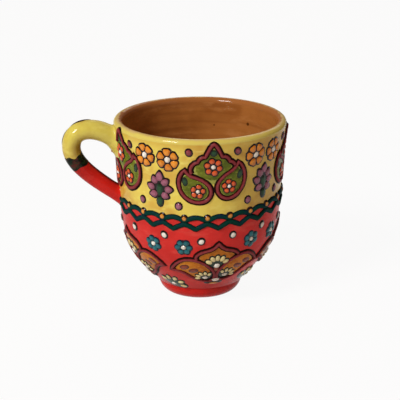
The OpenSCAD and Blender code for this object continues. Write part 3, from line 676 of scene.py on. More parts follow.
def lip_finish():
    """Clay of the lip, where the brown of the inside and the yellow of the outside run thin over it."""
    material = finish("fired_clay_lip", "#cbb070", "#b8934f", "#d8c284", 60.0, 0.6)
    tree = material.node_tree
    target, tint = base_colour(material)
    place = object_place(tree)
    level = add(tree, "ShaderNodeVectorMath", operation="MULTIPLY")
    level.inputs[1].default_value = (1 / MM, 1 / MM, 0.0)
    length = add(tree, "ShaderNodeVectorMath", operation="LENGTH")
    wire(tree, (place, level.inputs[0]), (level.outputs[0], length.inputs[0]))
    wander = spread(tree, noise(tree, place, EDGE_SCALE), 0.3, 0.7, -EDGE_WANDER, EDGE_WANDER)
    radius = math_node(tree, "ADD", length.outputs["Value"], wander)
    clear_of_brown = spread(tree, radius, *(RIM_R - share * LIP_T for share in BROWN_EDGE))
    under_yellow = spread(tree, radius, *(RIM_R - share * LIP_T for share in YELLOW_EDGE))
    tint = mixed(tree, clear_of_brown, paint("#a0622f"), tint)
    tree.links.new(mixed(tree, under_yellow, tint, paint("#d2c05e")), target)
    return material


# Specks on the inside, each as its turn, height and radius
SPECKS = ((41.0, 78.7, 1.1), (71.0, 76.0, 0.55))
THROWN_LINES = (25.0, 25.0, 420.0)


def inside_finish():
    """Clear glaze over brown clay, with thrown lines round it and a few specks burnt through it."""
    material = finish("clear_inside_glaze", "#a3652f", "#84481a", "#b47741", 45.0, 0.6)
    tree = material.node_tree
    target, tint = base_colour(material)
    place = object_place(tree)
    level = add(tree, "ShaderNodeMapping")
    level.inputs["Scale"].default_value = THROWN_LINES
    tree.links.new(place, level.inputs[0])
    lines = spread(tree, noise(tree, level.outputs[0], 1.0), 0.42, 0.68, 0.0, 0.36)
    tint = mixed(tree, lines, tint, paint("#7a431a"))
    for turn, height, reach in SPECKS:
        radius, a = wall_r(height) - WALL_T - LINING_T, math.radians(turn)
        apart = add(tree, "ShaderNodeVectorMath", operation="DISTANCE")
        apart.inputs[1].default_value = (radius * math.cos(a) * MM, radius * math.sin(a) * MM, height * MM)
        tree.links.new(place, apart.inputs[0])
        speck = spread(tree, apart.outputs["Value"], 0.5 * reach * MM, reach * MM, 1.0, 0.0)
        tint = mixed(tree, speck, tint, paint("#57300f"))
    tree.links.new(tint, target)
    return material


clay_lip = lip_finish()
inside_glaze = inside_finish()


# Turned pieces: the wall, its coats, the lining and the foot
def arc(middle, radius, first, last, steps):
    angles = [math.radians(first + (last - first) * i / steps) for i in range(steps + 1)]
    return [(middle[0] + radius * math.cos(a), middle[1] + radius * math.sin(a)) for a in angles]


TURNING_R = 50.0
TURNING_STEPS = 180
TURNED_CREASE = 60.0


def turned(name, profile, closed, material, slot, *nodes):
    guide = guide_curve(name + "_profile", [(r - TURNING_R, -z, 0.0) for r, z in profile], closed)
    piece = linked(name, bpy.data.meshes.new(name))
    grown_by(turned_on_wheel, piece, profile=guide, turning_radius=TURNING_R * MM,
             turning_steps=TURNING_STEPS, material=material)
    settle(piece, slot, *nodes, crease=TURNED_CREASE)
    return piece


def feathered(depth):
    return [wall_line[0]] + skin(-depth)[1:-1] + [wall_line[-1]]


RING_DEPTH = 0.09
RING_PITCH = 1.4
# Heights between which the rings come in and go out again
RINGS_IN = (14, 22)
RINGS_OUT = (88, 80)
LINING_THINS_H = 80


def ringed(profile):
    """Faint rings of the thrower's fingers."""
    return [(r + RING_DEPTH * math.sin(z * RING_PITCH) * ease(*RINGS_IN, z) * ease(*RINGS_OUT, z), z)
            for r, z in profile]


bead_h = CHAIN_H + 0.9 * CHAIN_W
clay_line = feathered(SLIP_T)
lip = arc((RIM_R - LIP_T / 2, WALL_TOP), LIP_T / 2, 0.0, 180.0, 14)
wall_inside = inside(0.0)
lining_inside = [(r + LINING_T * ease(LINING_THINS_H, WALL_TOP, z), z)
                 for r, z in ringed(inside(LINING_T))]
clay_floor = (0.0, wall_inside[0][1])
lining_floor = (0.0, lining_inside[0][1])
turned("mug_wall", [(0.0, FOOT_H)] + clay_line[:-1] + lip + wall_inside[::-1] + [clay_floor],
       False, clay_lip, "fired_clay", "body")
turned("inside_glaze", [clay_floor] + wall_inside + [lip[-1]] + lining_inside[::-1] + [lining_floor],
       False, inside_glaze, "clear_glaze", "lining_glaze")


def band_of(line, low, high):
    """The stretch of a profile between two heights, ends included."""
    radii, heights = zip(*line)
    first, last = ((between(heights, radii, h), h) for h in (low, high))
    return [first] + [p for p in line if low < p[1] < high] + [last]


def coat(name, low, high, material, slot, *nodes):
    outer = band_of(wall_line, low, high)
    inner = band_of(clay_line, low, high)
    return turned(name, outer + inner[::-1], True, material, slot, *nodes)


yellow_coat = coat("yellow_coat", bead_h, WALL_TOP, yellow_glaze, "yellow_glaze", "yellow_slip")
red_coat = coat("red_coat", FOOT_H, bead_h, red_glaze, "red_glaze", "red_slip")
FOOT_STEPS = 12


def foot_arc(radius):
    return [(REST_R + (radius - REST_R) * math.sin(a), FOOT_H * (1 - math.cos(a)))
            for a in (math.radians(90 * i / FOOT_STEPS) for i in range(FOOT_STEPS + 1))]


foot_clay = foot_arc(FOOT_R - SLIP_T)
turned("foot_clay", [(RECESS_R, 0.0)] + foot_clay + [(RECESS_R, FOOT_H)],
       True, bare_clay, "fired_clay", "foot_ring")
turned("foot_coat", foot_arc(FOOT_R) + foot_clay[:0:-1], True, foot_red, "red_glaze", "foot_slip")


# The chain border: the upper line dips at each bead, and the lower line zigzags under it
chain_ring = wall_r(CHAIN_H)
CHAIN_ENDS = (-83.0, 263.0)
UPPER_DIP = 0.55
UPPER_RISE = 1.6
ZIGZAG_PEAK = -1.3
ZIGZAG_FALL = 2.7
LINK_BEND = 1.3
# Rows grow level between these heights, up to this share
LEVEL_HEIGHTS = (56.0, 76.0)
LEVEL_SHARE = 0.75


def sag(turn, height=CHAIN_H):
    """Rows drawn by eye dip at the front and rise to the right, and keep level near the lip."""
    off = math.radians(turn - FRONT_TURN)
    free = 1.0 - LEVEL_SHARE * ease(*LEVEL_HEIGHTS, height)
    return free * (ROW_LEAN * math.sin(off) - ROW_SAG * math.cos(2 * off))


def link_share(turn):
    return ((turn - CHAIN_START) / 360 * CHAIN_LINKS) % 1.0


def upper_line_h(turn):
    swing = 1 - abs(2 * link_share(turn) - 1)
    return CHAIN_H + UPPER_DIP + UPPER_RISE * math.sin(swing * math.pi / 2) ** LINK_BEND


WAVE_REACH = 9.0


def wave_edges(piece):
    """The two colours of the wall meet under the upper line of the chain."""
    for vertex in piece.data.vertices:
        x, y, z = (c / MM for c in vertex.co)
        turn = math.degrees(math.atan2(y, x))
        near = max(0.0, 1 - abs(z - bead_h) / WAVE_REACH)
        vertex.co.z += near * (upper_line_h(turn) + sag(turn) - bead_h) * MM


LIP_OCHRE = 0.34
LIP_OCHRE_H = 83.0
# Painted shade: the yellow turns a darker ochre towards the right side of the mug
RIGHT_PAINTED_SHADE = 0.36
RIGHT_PAINTED_SHADE_X = (-4.0, 26.0)
# Painted shadow in the crease just above the foot
FOOT_PAINTED_SHADOW = 0.18
FOOT_PAINTED_SHADOW_H = 12.0


def yellow_lip_tint_and_painted_shade(x, z):
    """The yellow turns to ochre under the lip, and painted shade turns it a darker ochre towards the right.
    """
    return max(LIP_OCHRE * ease(LIP_OCHRE_H, WALL_TOP, z), RIGHT_PAINTED_SHADE * ease(*RIGHT_PAINTED_SHADE_X, x))


def red_painted_shadow(x, z):
    """Painted shadow darkens the red just above the foot."""
    return FOOT_PAINTED_SHADOW * ease(FOOT_PAINTED_SHADOW_H, FOOT_H, z)


for piece, rule in ((yellow_coat, yellow_lip_tint_and_painted_shade), (red_coat, red_painted_shadow)):
    wave_edges(piece)
    layer = piece.data.attributes.new("shade", "FLOAT", "POINT")
    layer.data.foreach_set("value", [rule(v.co.x / MM, v.co.z / MM) for v in piece.data.vertices])


# Flat work for the wall: every line and field is drawn in x and y about its own turn
wall_guide = guide_curve("wall_line", [(r, 0.0, z) for r, z in wall_line + lip[1:7]], False)


def section(name, half, height, line):
    """Half round with a thin flat line on either side."""
    side = [(half + line, -SUNK), (half + line, 0.1), (half, 0.28 * height), (0.68 * half, 0.76 * height)]
    points = [(-x, z) for x, z in side] + [(0.0, height)] + side[::-1]
    return guide_curve(name, [(x, -z, 0.0) for x, z in points], True)


rope_section = section("rope_section", 0.44 * ROPE_W, ROPE_T, LINE_W)
line_section = section("line_section", CHAIN_W / 2, PETAL_T, 0.12)


def laid(name, mesh, tree, material, slot, nodes, **inputs):
    """Lays flat work on the wall as one piece."""
    piece = linked(name, mesh)
    grown_by(tree, piece, wall_line=wall_guide, material=material, **inputs)
    settle(piece, slot, *nodes)


GIRTH_SWING = 0.05
SIZE_SWING = 0.04
FIELD_TONE_SWING = 0.4
PETAL_TONE_SWING = 0.5


def dome_faces(first, rings, count):
    """Faces of a low dome: rings of points, then its peak and the middle of its foot."""
    faces = []
    peak = first + rings * count
    for i in range(count):
        k = (i + 1) % count
        for a in range(first, peak - count, count):
            faces.append((a + i, a + k, a + count + k, a + count + i))
        faces.append((peak - count + i, peak - count + k, peak))
        faces.append((first + k, first + i, peak + 1))
    return faces


class Strokes:
    """Flat lines gathered for one piece."""

    def __init__(self, girth=ROPE_GIRTH):
        self.girth = girth
        self.points, self.edges, self.turns, self.girths = [], [], [], []

    def draw(self, line, turn, closed=True):
        first = len(self.points)
        self.points += [(x, y, 0.0) for x, y in line]
        self.turns += [math.radians(turn)] * len(line)
        self.girths += [self.girth * (1 + jitter(GIRTH_SWING)) for _ in line]
        self.edges += [(first + i, first + i + 1) for i in range(len(line) - 1)]
        if closed:
            self.edges.append((first + len(line) - 1, first))

    def draw_open(self, line, covers, turn):
        part = open_part(line, covers)
        self.draw(part, turn, closed=len(part) == len(line))

    def lay(self, name, profile, height, material, slot, *nodes):
        mesh = plain_mesh(name, self.points, [], self.edges, turn=self.turns, girth=self.girths)
        laid(name, mesh, ropes_on_wall, material, slot, nodes, rope_section=profile, rope_height=height * MM)


class Fields:
    """Flat coloured fields gathered for one piece."""

    RINGS = ((1.0, -1.0, 0.0), (1.0, 0.12, 0.0), (0.86, 0.16, 0.0), (0.79, 0.7, 0.15), (0.68, 0.95, 0.5),
             (0.4, 1.0, 0.8))

    def __init__(self):
        self.points, self.faces, self.turns, self.lifts, self.tones = [], [], [], [], []

    def fill(self, outline, middle, turn, top):
        count, first = len(outline), len(self.points)
        self.faces += dome_faces(first, len(self.RINGS), count)
        for share, height, lift in self.RINGS:
            z = -SUNK if height < 0 else top * height
            self.points += [(*p, z) for p in drawn_to(outline, middle, share)]
            self.lifts += [lift] * count
        self.points += [(*middle, top), (*middle, -SUNK)]
        self.lifts += [1.0, 0.0]
        added = len(self.points) - first
        self.turns += [math.radians(turn)] * added
        self.tones += [0.5 + jitter(FIELD_TONE_SWING)] * added

    def lay(self, name, material, slot, *nodes):
        mesh = plain_mesh(name, self.points, self.faces, turn=self.turns, lift=self.lifts, tone=self.tones)
        laid(name, mesh, fields_on_wall, material, slot, nodes)


class Petals:
    """Flat places of petals and dots gathered for one piece."""

    NAMES = ("turn", "spin", "wide", "long", "tall", "tone")

    def __init__(self):
        self.points = []
        self.values = {name: [] for name in self.NAMES}

    def put(self, turn, x, y, wide, long, spin=0.0, base=0.0, tall=PETAL_T):
        self.points.append((x, y, base))
        row = (math.radians(turn), math.radians(spin), wide * (1 + jitter(SIZE_SWING)) * MM,
               long * (1 + jitter(SIZE_SWING)) * MM, tall * MM, 0.5 + jitter(PETAL_TONE_SWING))
        for name, value in zip(self.NAMES, row):
            self.values[name].append(value)

    def fan(self, turn, x, y, angles, radius, wide, long, base=0.0):
        for spin in angles:
            a = math.radians(spin)
            self.put(turn, x - radius * math.sin(a), y + radius * math.cos(a), wide, long, spin, base)

    def ring(self, turn, x, y, count, radius, wide, long, start=0.0, base=0.0):
        angles = (start + 360 * k / count + jitter(3.0) for k in range(count))
        self.fan(turn, x, y, angles, radius, wide, long, base)

    def lay(self, name, form, material, slot, *nodes):
        mesh = plain_mesh(name, self.points, [], **self.values)
        laid(name, mesh, petals_on_wall, material, slot, nodes, petal_form=form)


# Petal forms: a low dome with a thin flat line round its foot
FORM_RINGS = ((1.34, -0.25, 0.0), (1.32, 0.14, 0.0), (1.0, 0.34, 0.32), (0.8, 0.72, 0.7), (0.45, 0.94, 0.95))
FORM_CORNERS = 12


def petal_form(name, pinch, point, square):
    """One petal of unit size: its foot pinched in, its tip pointed and its corners filled to a square."""
    outline = []
    for i in range(FORM_CORNERS):
        a = math.tau * i / FORM_CORNERS
        full = (abs(math.sin(a)) ** 4 + abs(math.cos(a)) ** 4) ** -0.25
        reach = 0.5 * (1 + square * (full - 1))
        x, y = reach * math.sin(a), reach * math.cos(a)
        x *= 1 + pinch * (y - 0.1) * 2
        x *= 1 - point * max(0.0, y) * 1.2
        outline.append((x, y))
    points, lifts = [], []
    for share, z, lift in FORM_RINGS:
        points += [(x * share, y * share, z) for x, y in outline]
        lifts += [lift] * FORM_CORNERS
    points += [(0.0, 0.0, 1.0), (0.0, 0.0, FORM_RINGS[0][1])]
    lifts += [1.0, 0.0]
    # The outline runs clockwise, so its faces are turned over
    faces = [face[::-1] for face in dome_faces(0, len(FORM_RINGS), FORM_CORNERS)]
    made = linked(name, plain_mesh(name, [tuple(c / MM for c in p) for p in points], faces, lift=lifts))
    helpers.append(made)
    return made


round_form = petal_form("round_form", 0.0, 0.0, 0.15)
wedge_form = petal_form("wedge_form", 0.32, 0.0, 0.75)
leaf_form = petal_form("leaf_form", 0.0, 0.75, 0.3)


# Outlines as control points, in shares of a motif's width and height
BOTEH = [
    (-0.29, 0.50), (-0.56, 0.275), (-0.56, -0.15), (-0.18, -0.375), (0.01, -0.495), (0.39, -0.515),
    (0.48, -0.225), (0.54, 0.075), (0.17, 0.225), (-0.07, 0.30), (-0.18, 0.34), (-0.24, 0.41), (-0.29, 0.50)]
LEAF = [
    (0, 0.54), (-0.065, 0.525), (-0.11, 0.38), (-0.175, 0.195), (-0.235, 0.21), (-0.305, 0.16), (-0.33, 0.05),
    (-0.395, 0.06), (-0.46, -0.02), (-0.475, -0.12), (-0.50, -0.32), (-0.30, -0.57), (0, -0.57)]
CROWN = [
    (0, 0.53), (-0.065, 0.40), (-0.13, 0.345), (-0.195, 0.31), (-0.30, 0.265), (-0.43, 0.23), (-0.49, 0.115),
    (-0.515, 0.03), (-0.495, -0.035), (-0.455, -0.085), (-0.26, -0.23), (-0.11, -0.37), (0, -0.46)]
POD = [
    (0.33, -0.50), (0.50, -0.42), (0.55, -0.12), (0.44, 0.12), (0.32, 0.38), (0.12, 0.50), (-0.08, 0.50),
    (-0.28, 0.50), (-0.40, 0.30), (-0.50, 0.02), (-0.37, 0.06), (-0.24, -0.02), (-0.11, -0.17),
    (-0.02, -0.30), (0.12, -0.50), (0.33, -0.50)]
BOTEH_W, BOTEH_H = 17.2, 20.2
LEAF_W, LEAF_H = 25.0, 19.5
CROWN_W, CROWN_H = 23.0, 17.4
POD_W, POD_H = 23.5, 18.5
OUTLINE_STEPS = 9


def half_leaf(shares):
    half = bezier_chain(shares, OUTLINE_STEPS)
    return half + [shares[-1]] + [(-x, y) for x, y in half[:0:-1]]


def sized(shares, w, h):
    return [(x * w, y * h) for x, y in shares]


def flipped(line):
    return [(-x, y) for x, y in line[::-1]]


def moved(line, dx, dy, spin=0.0):
    c, s = math.cos(math.radians(spin)), math.sin(math.radians(spin))
    return [(dx + x * c - y * s, dy + x * s + y * c) for x, y in line]


def drawn_to(line, middle, share):
    """A line drawn in towards a point."""
    return [(middle[0] + (x - middle[0]) * share, middle[1] + (y - middle[1]) * share) for x, y in line]


def shrunk(line, middle, gap, width):
    return drawn_to(line, middle, 1 - 2 * gap / width)


def within(point, outline):
    x, y = point
    odd = False
    for (x0, y0), (x1, y1) in zip(outline, outline[1:] + outline[:1]):
        if (y0 > y) != (y1 > y) and x < x0 + (x1 - x0) * (y - y0) / (y1 - y0):
            odd = not odd
    return odd


def open_part(line, covers):
    """The longest stretch of a closed line that no cover hides."""
    free = [not any(within(p, c) for c in covers) for p in line]
    if all(free):
        return line
    best, count = (0, 0), len(line)
    for start in range(count):
        if free[start] and not free[start - 1]:
            n = 0
            while n < count and free[(start + n) % count]:
                n += 1
            best = max(best, (n, start))
    return [line[(best[1] + i) % count] for i in range(best[0])]


def hand_drawn(line, amount=0.12):
    """A line with the small swings of a hand."""
    phase = [jitter(math.pi) for _ in range(3)]
    out = []
    for i, (x, y) in enumerate(line):
        t = math.tau * i / len(line)
        dx = sum(math.sin((k + 2) * t + p) for k, p in enumerate(phase)) / 3
        dy = sum(math.cos((k + 3) * t + p) for k, p in enumerate(phase)) / 3
        out.append((x + amount * dx, y + amount * dy))
    return out


boteh_line = sized(bezier_chain(BOTEH, OUTLINE_STEPS), BOTEH_W, BOTEH_H)
leaf_line = sized(half_leaf(LEAF), LEAF_W, LEAF_H)
crown_line = sized(half_leaf(CROWN), CROWN_W, CROWN_H)
pod_line = sized(bezier_chain(POD, OUTLINE_STEPS), POD_W, POD_H)

# Rows and turns of the ornament
UPPER_BAND = WALL_TOP - CHAIN_H
LOWER_BAND = CHAIN_H - FOOT_H


def row_run(height, turn):
    return run_at(height) + sag(turn, height)


def upper_row(share, turn):
    return row_run(CHAIN_H + share * UPPER_BAND, turn)


def lower_row(share, turn):
    return row_run(FOOT_H + share * LOWER_BAND, turn)


# Places of the rows as shares of their band
BOTEH_ROW = 0.485
LEAF_ROW = 0.725
ROSETTE_ROW = 0.8
SPRIG_ROW = 0.385
TEAL_ROW = 0.70
WHITE_DOT_ROW = 0.79
CROWN_ROW = 0.519
POD_ROW = 0.335
FOOT_FAN_ROW = 0.095
BOTEH_TURNS = (-163, -88, -11, 61, 128)
PALMETTE_TURNS = (-166, -84, -7, 93)
POD_TURN = 21.5


def gap_turns(turns, shares):
    nexts = turns[1:] + (turns[0] + 360,)
    return [a + s * (b - a) for a, b in zip(turns, nexts) for s in shares]


# Marks of the two roots of the handle on the wall: height, half width and half height
ROOT_MARKS = ((80.2, 7.6, 9.6), (51.6, 6.6, 7.4))


def clears_handle(turn, height, wide, tall):
    apart = abs(turn - HANDLE_TURN) % 360
    off = wall_r(height) * math.radians(min(apart, 360 - apart))
    return all(math.hypot(off / (w + wide / 2), (height - h) / (t + tall / 2)) > 1
               for h, w, t in ROOT_MARKS)


def root_covers(turn):
    """The marks of the roots in flat work about a turn."""
    apart = math.radians((HANDLE_TURN - turn + 180) % 360 - 180)
    return [[(apart * wall_r(h) + x, run_at(h) + y) for x, y in sized(arc((0, 0), 1, 0, 345, 23), w, t)]
            for h, w, t in ROOT_MARKS]


# Boteh groups of the yellow band
boteh_ropes, boteh_fields = Strokes(), Fields()
florets, hearts, seeds, grounds = Petals(), Petals(), Petals(), Petals()
# Each drop as its side, its place across and up, its lean, and its width and height against the outline
BOTEH_PLACES = ((-1, -9.3, -1.1, 2.0, 1.03, 0.95), (1, 8.4, 1.2, 5.0, 0.97, 1.0))
BOTEH_MIDDLE = (0.0, -0.08 * BOTEH_H)
LEAF_LIFT = (LEAF_ROW - BOTEH_ROW) * UPPER_BAND
LEAF_OFF = -0.4
LEAF_FALL = 1.2
LEAF_RISE = 2.5
LEAF_FIELD_T = 0.22
ROPED_FIELD_T = FIELD_T + 0.05
FLORET_D = 7.0
FLORET_PETALS = 5
FLORET_FALL = 0.12 * BOTEH_H
LEAF_FLORET_D = 8.75
LEAF_FLORET_PETALS = 6
HEART_T = PETAL_T + 0.1
GROUND_T = 0.3
SEED_T = 0.35


def flower(petals, turn, x, y, count, across, start, base):
    petals.ring(turn, x, y, count, 0.35 * across, 1.9 / count * across, 0.32 * across, start, base)
    hearts.put(turn, x, y, 0.25 * across, 0.25 * across, base=base, tall=HEART_T)
    grounds.put(turn, x, y, 0.74 * across, 0.74 * across, base=base, tall=GROUND_T)


for turn in BOTEH_TURNS:
    row = upper_row(BOTEH_ROW, turn)
    sides, roots = [], root_covers(turn)
    for side, out, up, spin, wide, tall in BOTEH_PLACES:
        outline = sized(boteh_line if side < 0 else flipped(boteh_line), wide, tall)
        put = (out, row + up, spin + jitter(1.5))
        whole = moved(hand_drawn(outline), *put)
        sides.append(whole)
        middle, spot, drop = moved([BOTEH_MIDDLE, (-side * 0.085 * BOTEH_W, -FLORET_FALL),
                                    (side * 0.27 * BOTEH_W, 0.13 * BOTEH_H)], *put)
        rope = shrunk(whole, middle, ROPE_W / 2, BOTEH_W)
        boteh_ropes.draw_open(rope, roots, turn)
        boteh_fields.fill(rope, middle, turn, ROPED_FIELD_T)
        height = CHAIN_H + BOTEH_ROW * UPPER_BAND - FLORET_FALL
        if clears_handle(turn + math.degrees(spot[0] / wall_r(height)), height, FLORET_D, FLORET_D):
            flower(florets, turn, *spot, FLORET_PETALS, FLORET_D, jitter(30), FIELD_T)
        if not any(within(drop, r) for r in roots):
            seeds.put(turn, *drop, 2.2, 3.6, side * -20 + jitter(15), FIELD_T, SEED_T)
    # The leaf stands a little higher at the front and on the left
    leaf_row = row + LEAF_LIFT - LEAF_FALL + LEAF_RISE * ease(-20, -80, turn)
    leaf = moved(hand_drawn(leaf_line), LEAF_OFF, leaf_row, jitter(1.5))
    rope = shrunk(leaf, (0.0, leaf_row), ROPE_W / 2, LEAF_W)
    boteh_ropes.draw_open(rope, sides + roots, turn)
    boteh_fields.fill(rope, (0.0, leaf_row), turn, LEAF_FIELD_T)
    flower(florets, turn, jitter(0.3) - 0.7, leaf_row - 0.08 * LEAF_H, LEAF_FLORET_PETALS, LEAF_FLORET_D, 12,
           LEAF_FIELD_T)
    seeds.put(turn, -0.5, leaf_row + 0.28 * LEAF_H, 2.6, 2.6, jitter(20), LEAF_FIELD_T, SEED_T)

boteh_ropes.lay("boteh_ropes", rope_section, ROPE_T, maroon_rope, "maroon_glaze", "boteh_outlines")
boteh_fields.lay("boteh_olive_fields", olive_field, "olive_glaze", "boteh_fields")
florets.lay("boteh_floret_petals", round_form, floret_petal, "orange_glaze", "boteh_florets")
seeds.lay("boteh_green_drops", round_form, green_drop, "dark_green_glaze", "boteh_seeds")

# Rosettes, sprigs and dots between the groups
LEFT_SHIFT = 1.6


def drawn_left(turn):
    """Between the first two groups the flowers and dots lie a little to the left."""
    return -LEFT_SHIFT * ease(-95, -102, turn)


rosettes = Petals()
ROSETTE_D = 11.0
ROSETTE_PETALS = 6
for turn in gap_turns(BOTEH_TURNS, (0.385, 0.615)):
    if clears_handle(turn, CHAIN_H + ROSETTE_ROW * UPPER_BAND, ROSETTE_D, ROSETTE_D):
        row = upper_row(ROSETTE_ROW, turn) + jitter(0.4)
        x = drawn_left(turn)
        rosettes.ring(turn, x, row, ROSETTE_PETALS, 0.335 * ROSETTE_D, 0.345 * ROSETTE_D, 0.33 * ROSETTE_D,
                      jitter(30))
        hearts.put(turn, x, row, 0.24 * ROSETTE_D, 0.28 * ROSETTE_D, jitter(60), tall=HEART_T)
        grounds.put(turn, x, row, 0.7 * ROSETTE_D, 0.7 * ROSETTE_D, tall=GROUND_T)
rosettes.lay("rosette_orange_petals", wedge_form, orange_petal, "orange_glaze", "rosette_petals")

sprigs, stems = Petals(), Petals()
SPRIG_W, SPRIG_H = 13.6, 17.0
# Petals from the top round to the left, each as its place in shares of the width and height and its lean
SPRIG_PETALS = ((0.0, 0.375, 0), (-0.19, 0.25, 28), (-0.335, 0.04, 62), (-0.25, -0.17, 105),
                (0.22, -0.19, -118), (0.335, 0.0, -82), (0.225, 0.20, -45))
for turn in gap_turns(BOTEH_TURNS, (0.5,)):
    if clears_handle(turn, CHAIN_H + SPRIG_ROW * UPPER_BAND, SPRIG_W, SPRIG_H):
        row = upper_row(SPRIG_ROW, turn) + 0.04 * SPRIG_H
        for across, up, lean in SPRIG_PETALS:
            x, y = across * SPRIG_W + jitter(0.2), row + up * SPRIG_H + jitter(0.2)
            long = 0.265 if lean else 0.30
            sprigs.put(turn, x, y, 0.23 * SPRIG_H, long * SPRIG_H, lean + jitter(8))
        stems.put(turn, 0.0, row - 0.03 * SPRIG_H, 0.26 * SPRIG_W, 0.36 * SPRIG_H, jitter(4))
        stems.put(turn, 0.1, row - 0.37 * SPRIG_H, 0.24 * SPRIG_W, 0.27 * SPRIG_H, 180)
sprigs.lay("sprig_mauve_petals", leaf_form, mauve_petal, "mauve_glaze", "sprig_petals")
stems.lay("sprig_green_stems", round_form, green_drop, "dark_green_glaze", "sprig_stems")

DOT_D = 3.1
DOT_LONG = 1.1 * DOT_D
for name, share, gaps, material, slot, node in (
        ("maroon_enamel_dots", 0.895, (0.2, 0.8), maroon_dot, "maroon_glaze", "maroon_dots"),
        ("pink_enamel_dots", 0.205, (0.315, 0.685), mauve_petal, "mauve_glaze", "pink_dots")):
    dots = Petals()
    for turn in gap_turns(BOTEH_TURNS, gaps):
        if clears_handle(turn, CHAIN_H + share * UPPER_BAND, DOT_D, DOT_D):
            x, y = drawn_left(turn) * share + jitter(0.4), upper_row(share, turn) + jitter(0.5)
            dots.put(turn, x, y, DOT_D, DOT_LONG, jitter(40))
    dots.lay(name, round_form, material, slot, node)

# Chain border
CHAIN_POINTS = 14
CHAIN_MIDDLE = FRONT_TURN + 7.5


def lower_line_h(turn):
    swing = abs(2 * link_share(turn) - 1)
    return CHAIN_H + ZIGZAG_PEAK - ZIGZAG_FALL * (1 - swing) ** LINK_BEND


def chain_points(height_of):
    line = []
    count = CHAIN_LINKS * CHAIN_POINTS
    for i in range(count + 1):
        angle = CHAIN_ENDS[0] + (CHAIN_ENDS[1] - CHAIN_ENDS[0]) * i / count
        turn = angle + CHAIN_MIDDLE
        line.append((math.radians(angle) * chain_ring, run_at(height_of(turn)) + sag(turn)))
    return line


for name, height_of, node in (("chain_upper_rope", upper_line_h, "chain_upper_line"),
                              ("chain_lower_rope", lower_line_h, "chain_lower_line")):
    line = Strokes(CHAIN_GIRTH)
    line.draw(chain_points(height_of), CHAIN_MIDDLE, closed=False)
    line.lay(name, line_section, PETAL_T, chain_line, "dark_green_glaze", node)
beads = Petals()
for k in range(CHAIN_LINKS):
    turn = CHAIN_START + 360 * k / CHAIN_LINKS
    if clears_handle(turn, bead_h, BEAD_D, BEAD_D):
        beads.put(turn, 0.0, run_at(bead_h) + sag(turn), BEAD_D, BEAD_D, tall=PETAL_T + FIELD_T)
beads.lay("chain_ochre_beads", round_form, bead_glaze, "ochre_glaze", "chain_beads")

# Red band: teal flowers, white dots, palmettes and fans
teals, white_dots = Petals(), Petals()
TEAL_D = 8.8
TEAL_PETALS = 6
TEAL_FALL = 1.2
INWARD_SHIFT = 2.4


def drawn_in(turn):
    """The small flowers and dots of the red band lie closer together at the front."""
    return -INWARD_SHIFT * math.sin(math.radians(turn - FRONT_TURN))


for turn in gap_turns(PALMETTE_TURNS, (0.37, 0.68)):
    row = lower_row(TEAL_ROW, turn) - TEAL_FALL + jitter(0.4)
    x = drawn_in(turn)
    teals.ring(turn, x, row, TEAL_PETALS, 0.31 * TEAL_D, 0.33 * TEAL_D, 0.34 * TEAL_D, jitter(30))
    hearts.put(turn, x, row, 0.26 * TEAL_D, 0.26 * TEAL_D, tall=HEART_T)
    grounds.put(turn, x, row, 0.7 * TEAL_D, 0.7 * TEAL_D, tall=GROUND_T)
grounds.lay("flower_dark_grounds", round_form, dark_ground, "maroon_glaze")
teals.lay("teal_flower_petals", round_form, teal_petal, "teal_glaze", "teal_petals")
hearts.lay("white_flower_hearts", round_form, white_glaze, "white_glaze", "flower_centres")
for gap, rise in ((0.15, 0.4), (0.5, 0.8), (0.85, -1.2)):
    for turn in gap_turns(PALMETTE_TURNS, (gap,)):
        if clears_handle(turn, FOOT_H + WHITE_DOT_ROW * LOWER_BAND, DOT_D, DOT_D):
            row = lower_row(WHITE_DOT_ROW, turn) + rise + jitter(0.3)
            white_dots.put(turn, drawn_in(turn) + jitter(0.2), row, DOT_D, DOT_LONG, jitter(40))
white_dots.lay("white_enamel_dots", round_form, white_dot, "white_glaze", "white_dots")

palmette_ropes, palmette_fields = Strokes(), Fields()
fan_petals, fan_hearts, fan_shades, pod_seeds, drops = Petals(), Petals(), Petals(), Petals(), Petals()
CROWN_FAN = (-58, -29, 0, 29, 58)
POD_FAN = (-40, -6, 28, 62, 96)
FOOT_FAN = (-102, -64, -27, 10, 47)
FOOT_FAN_R = 6.8
FOOT_FAN_LEAN = -25
FOOT_FAN_SHIFT = 2.3
POD_MIDDLE = 0.12 * POD_H
POD_INWARD = 0.8
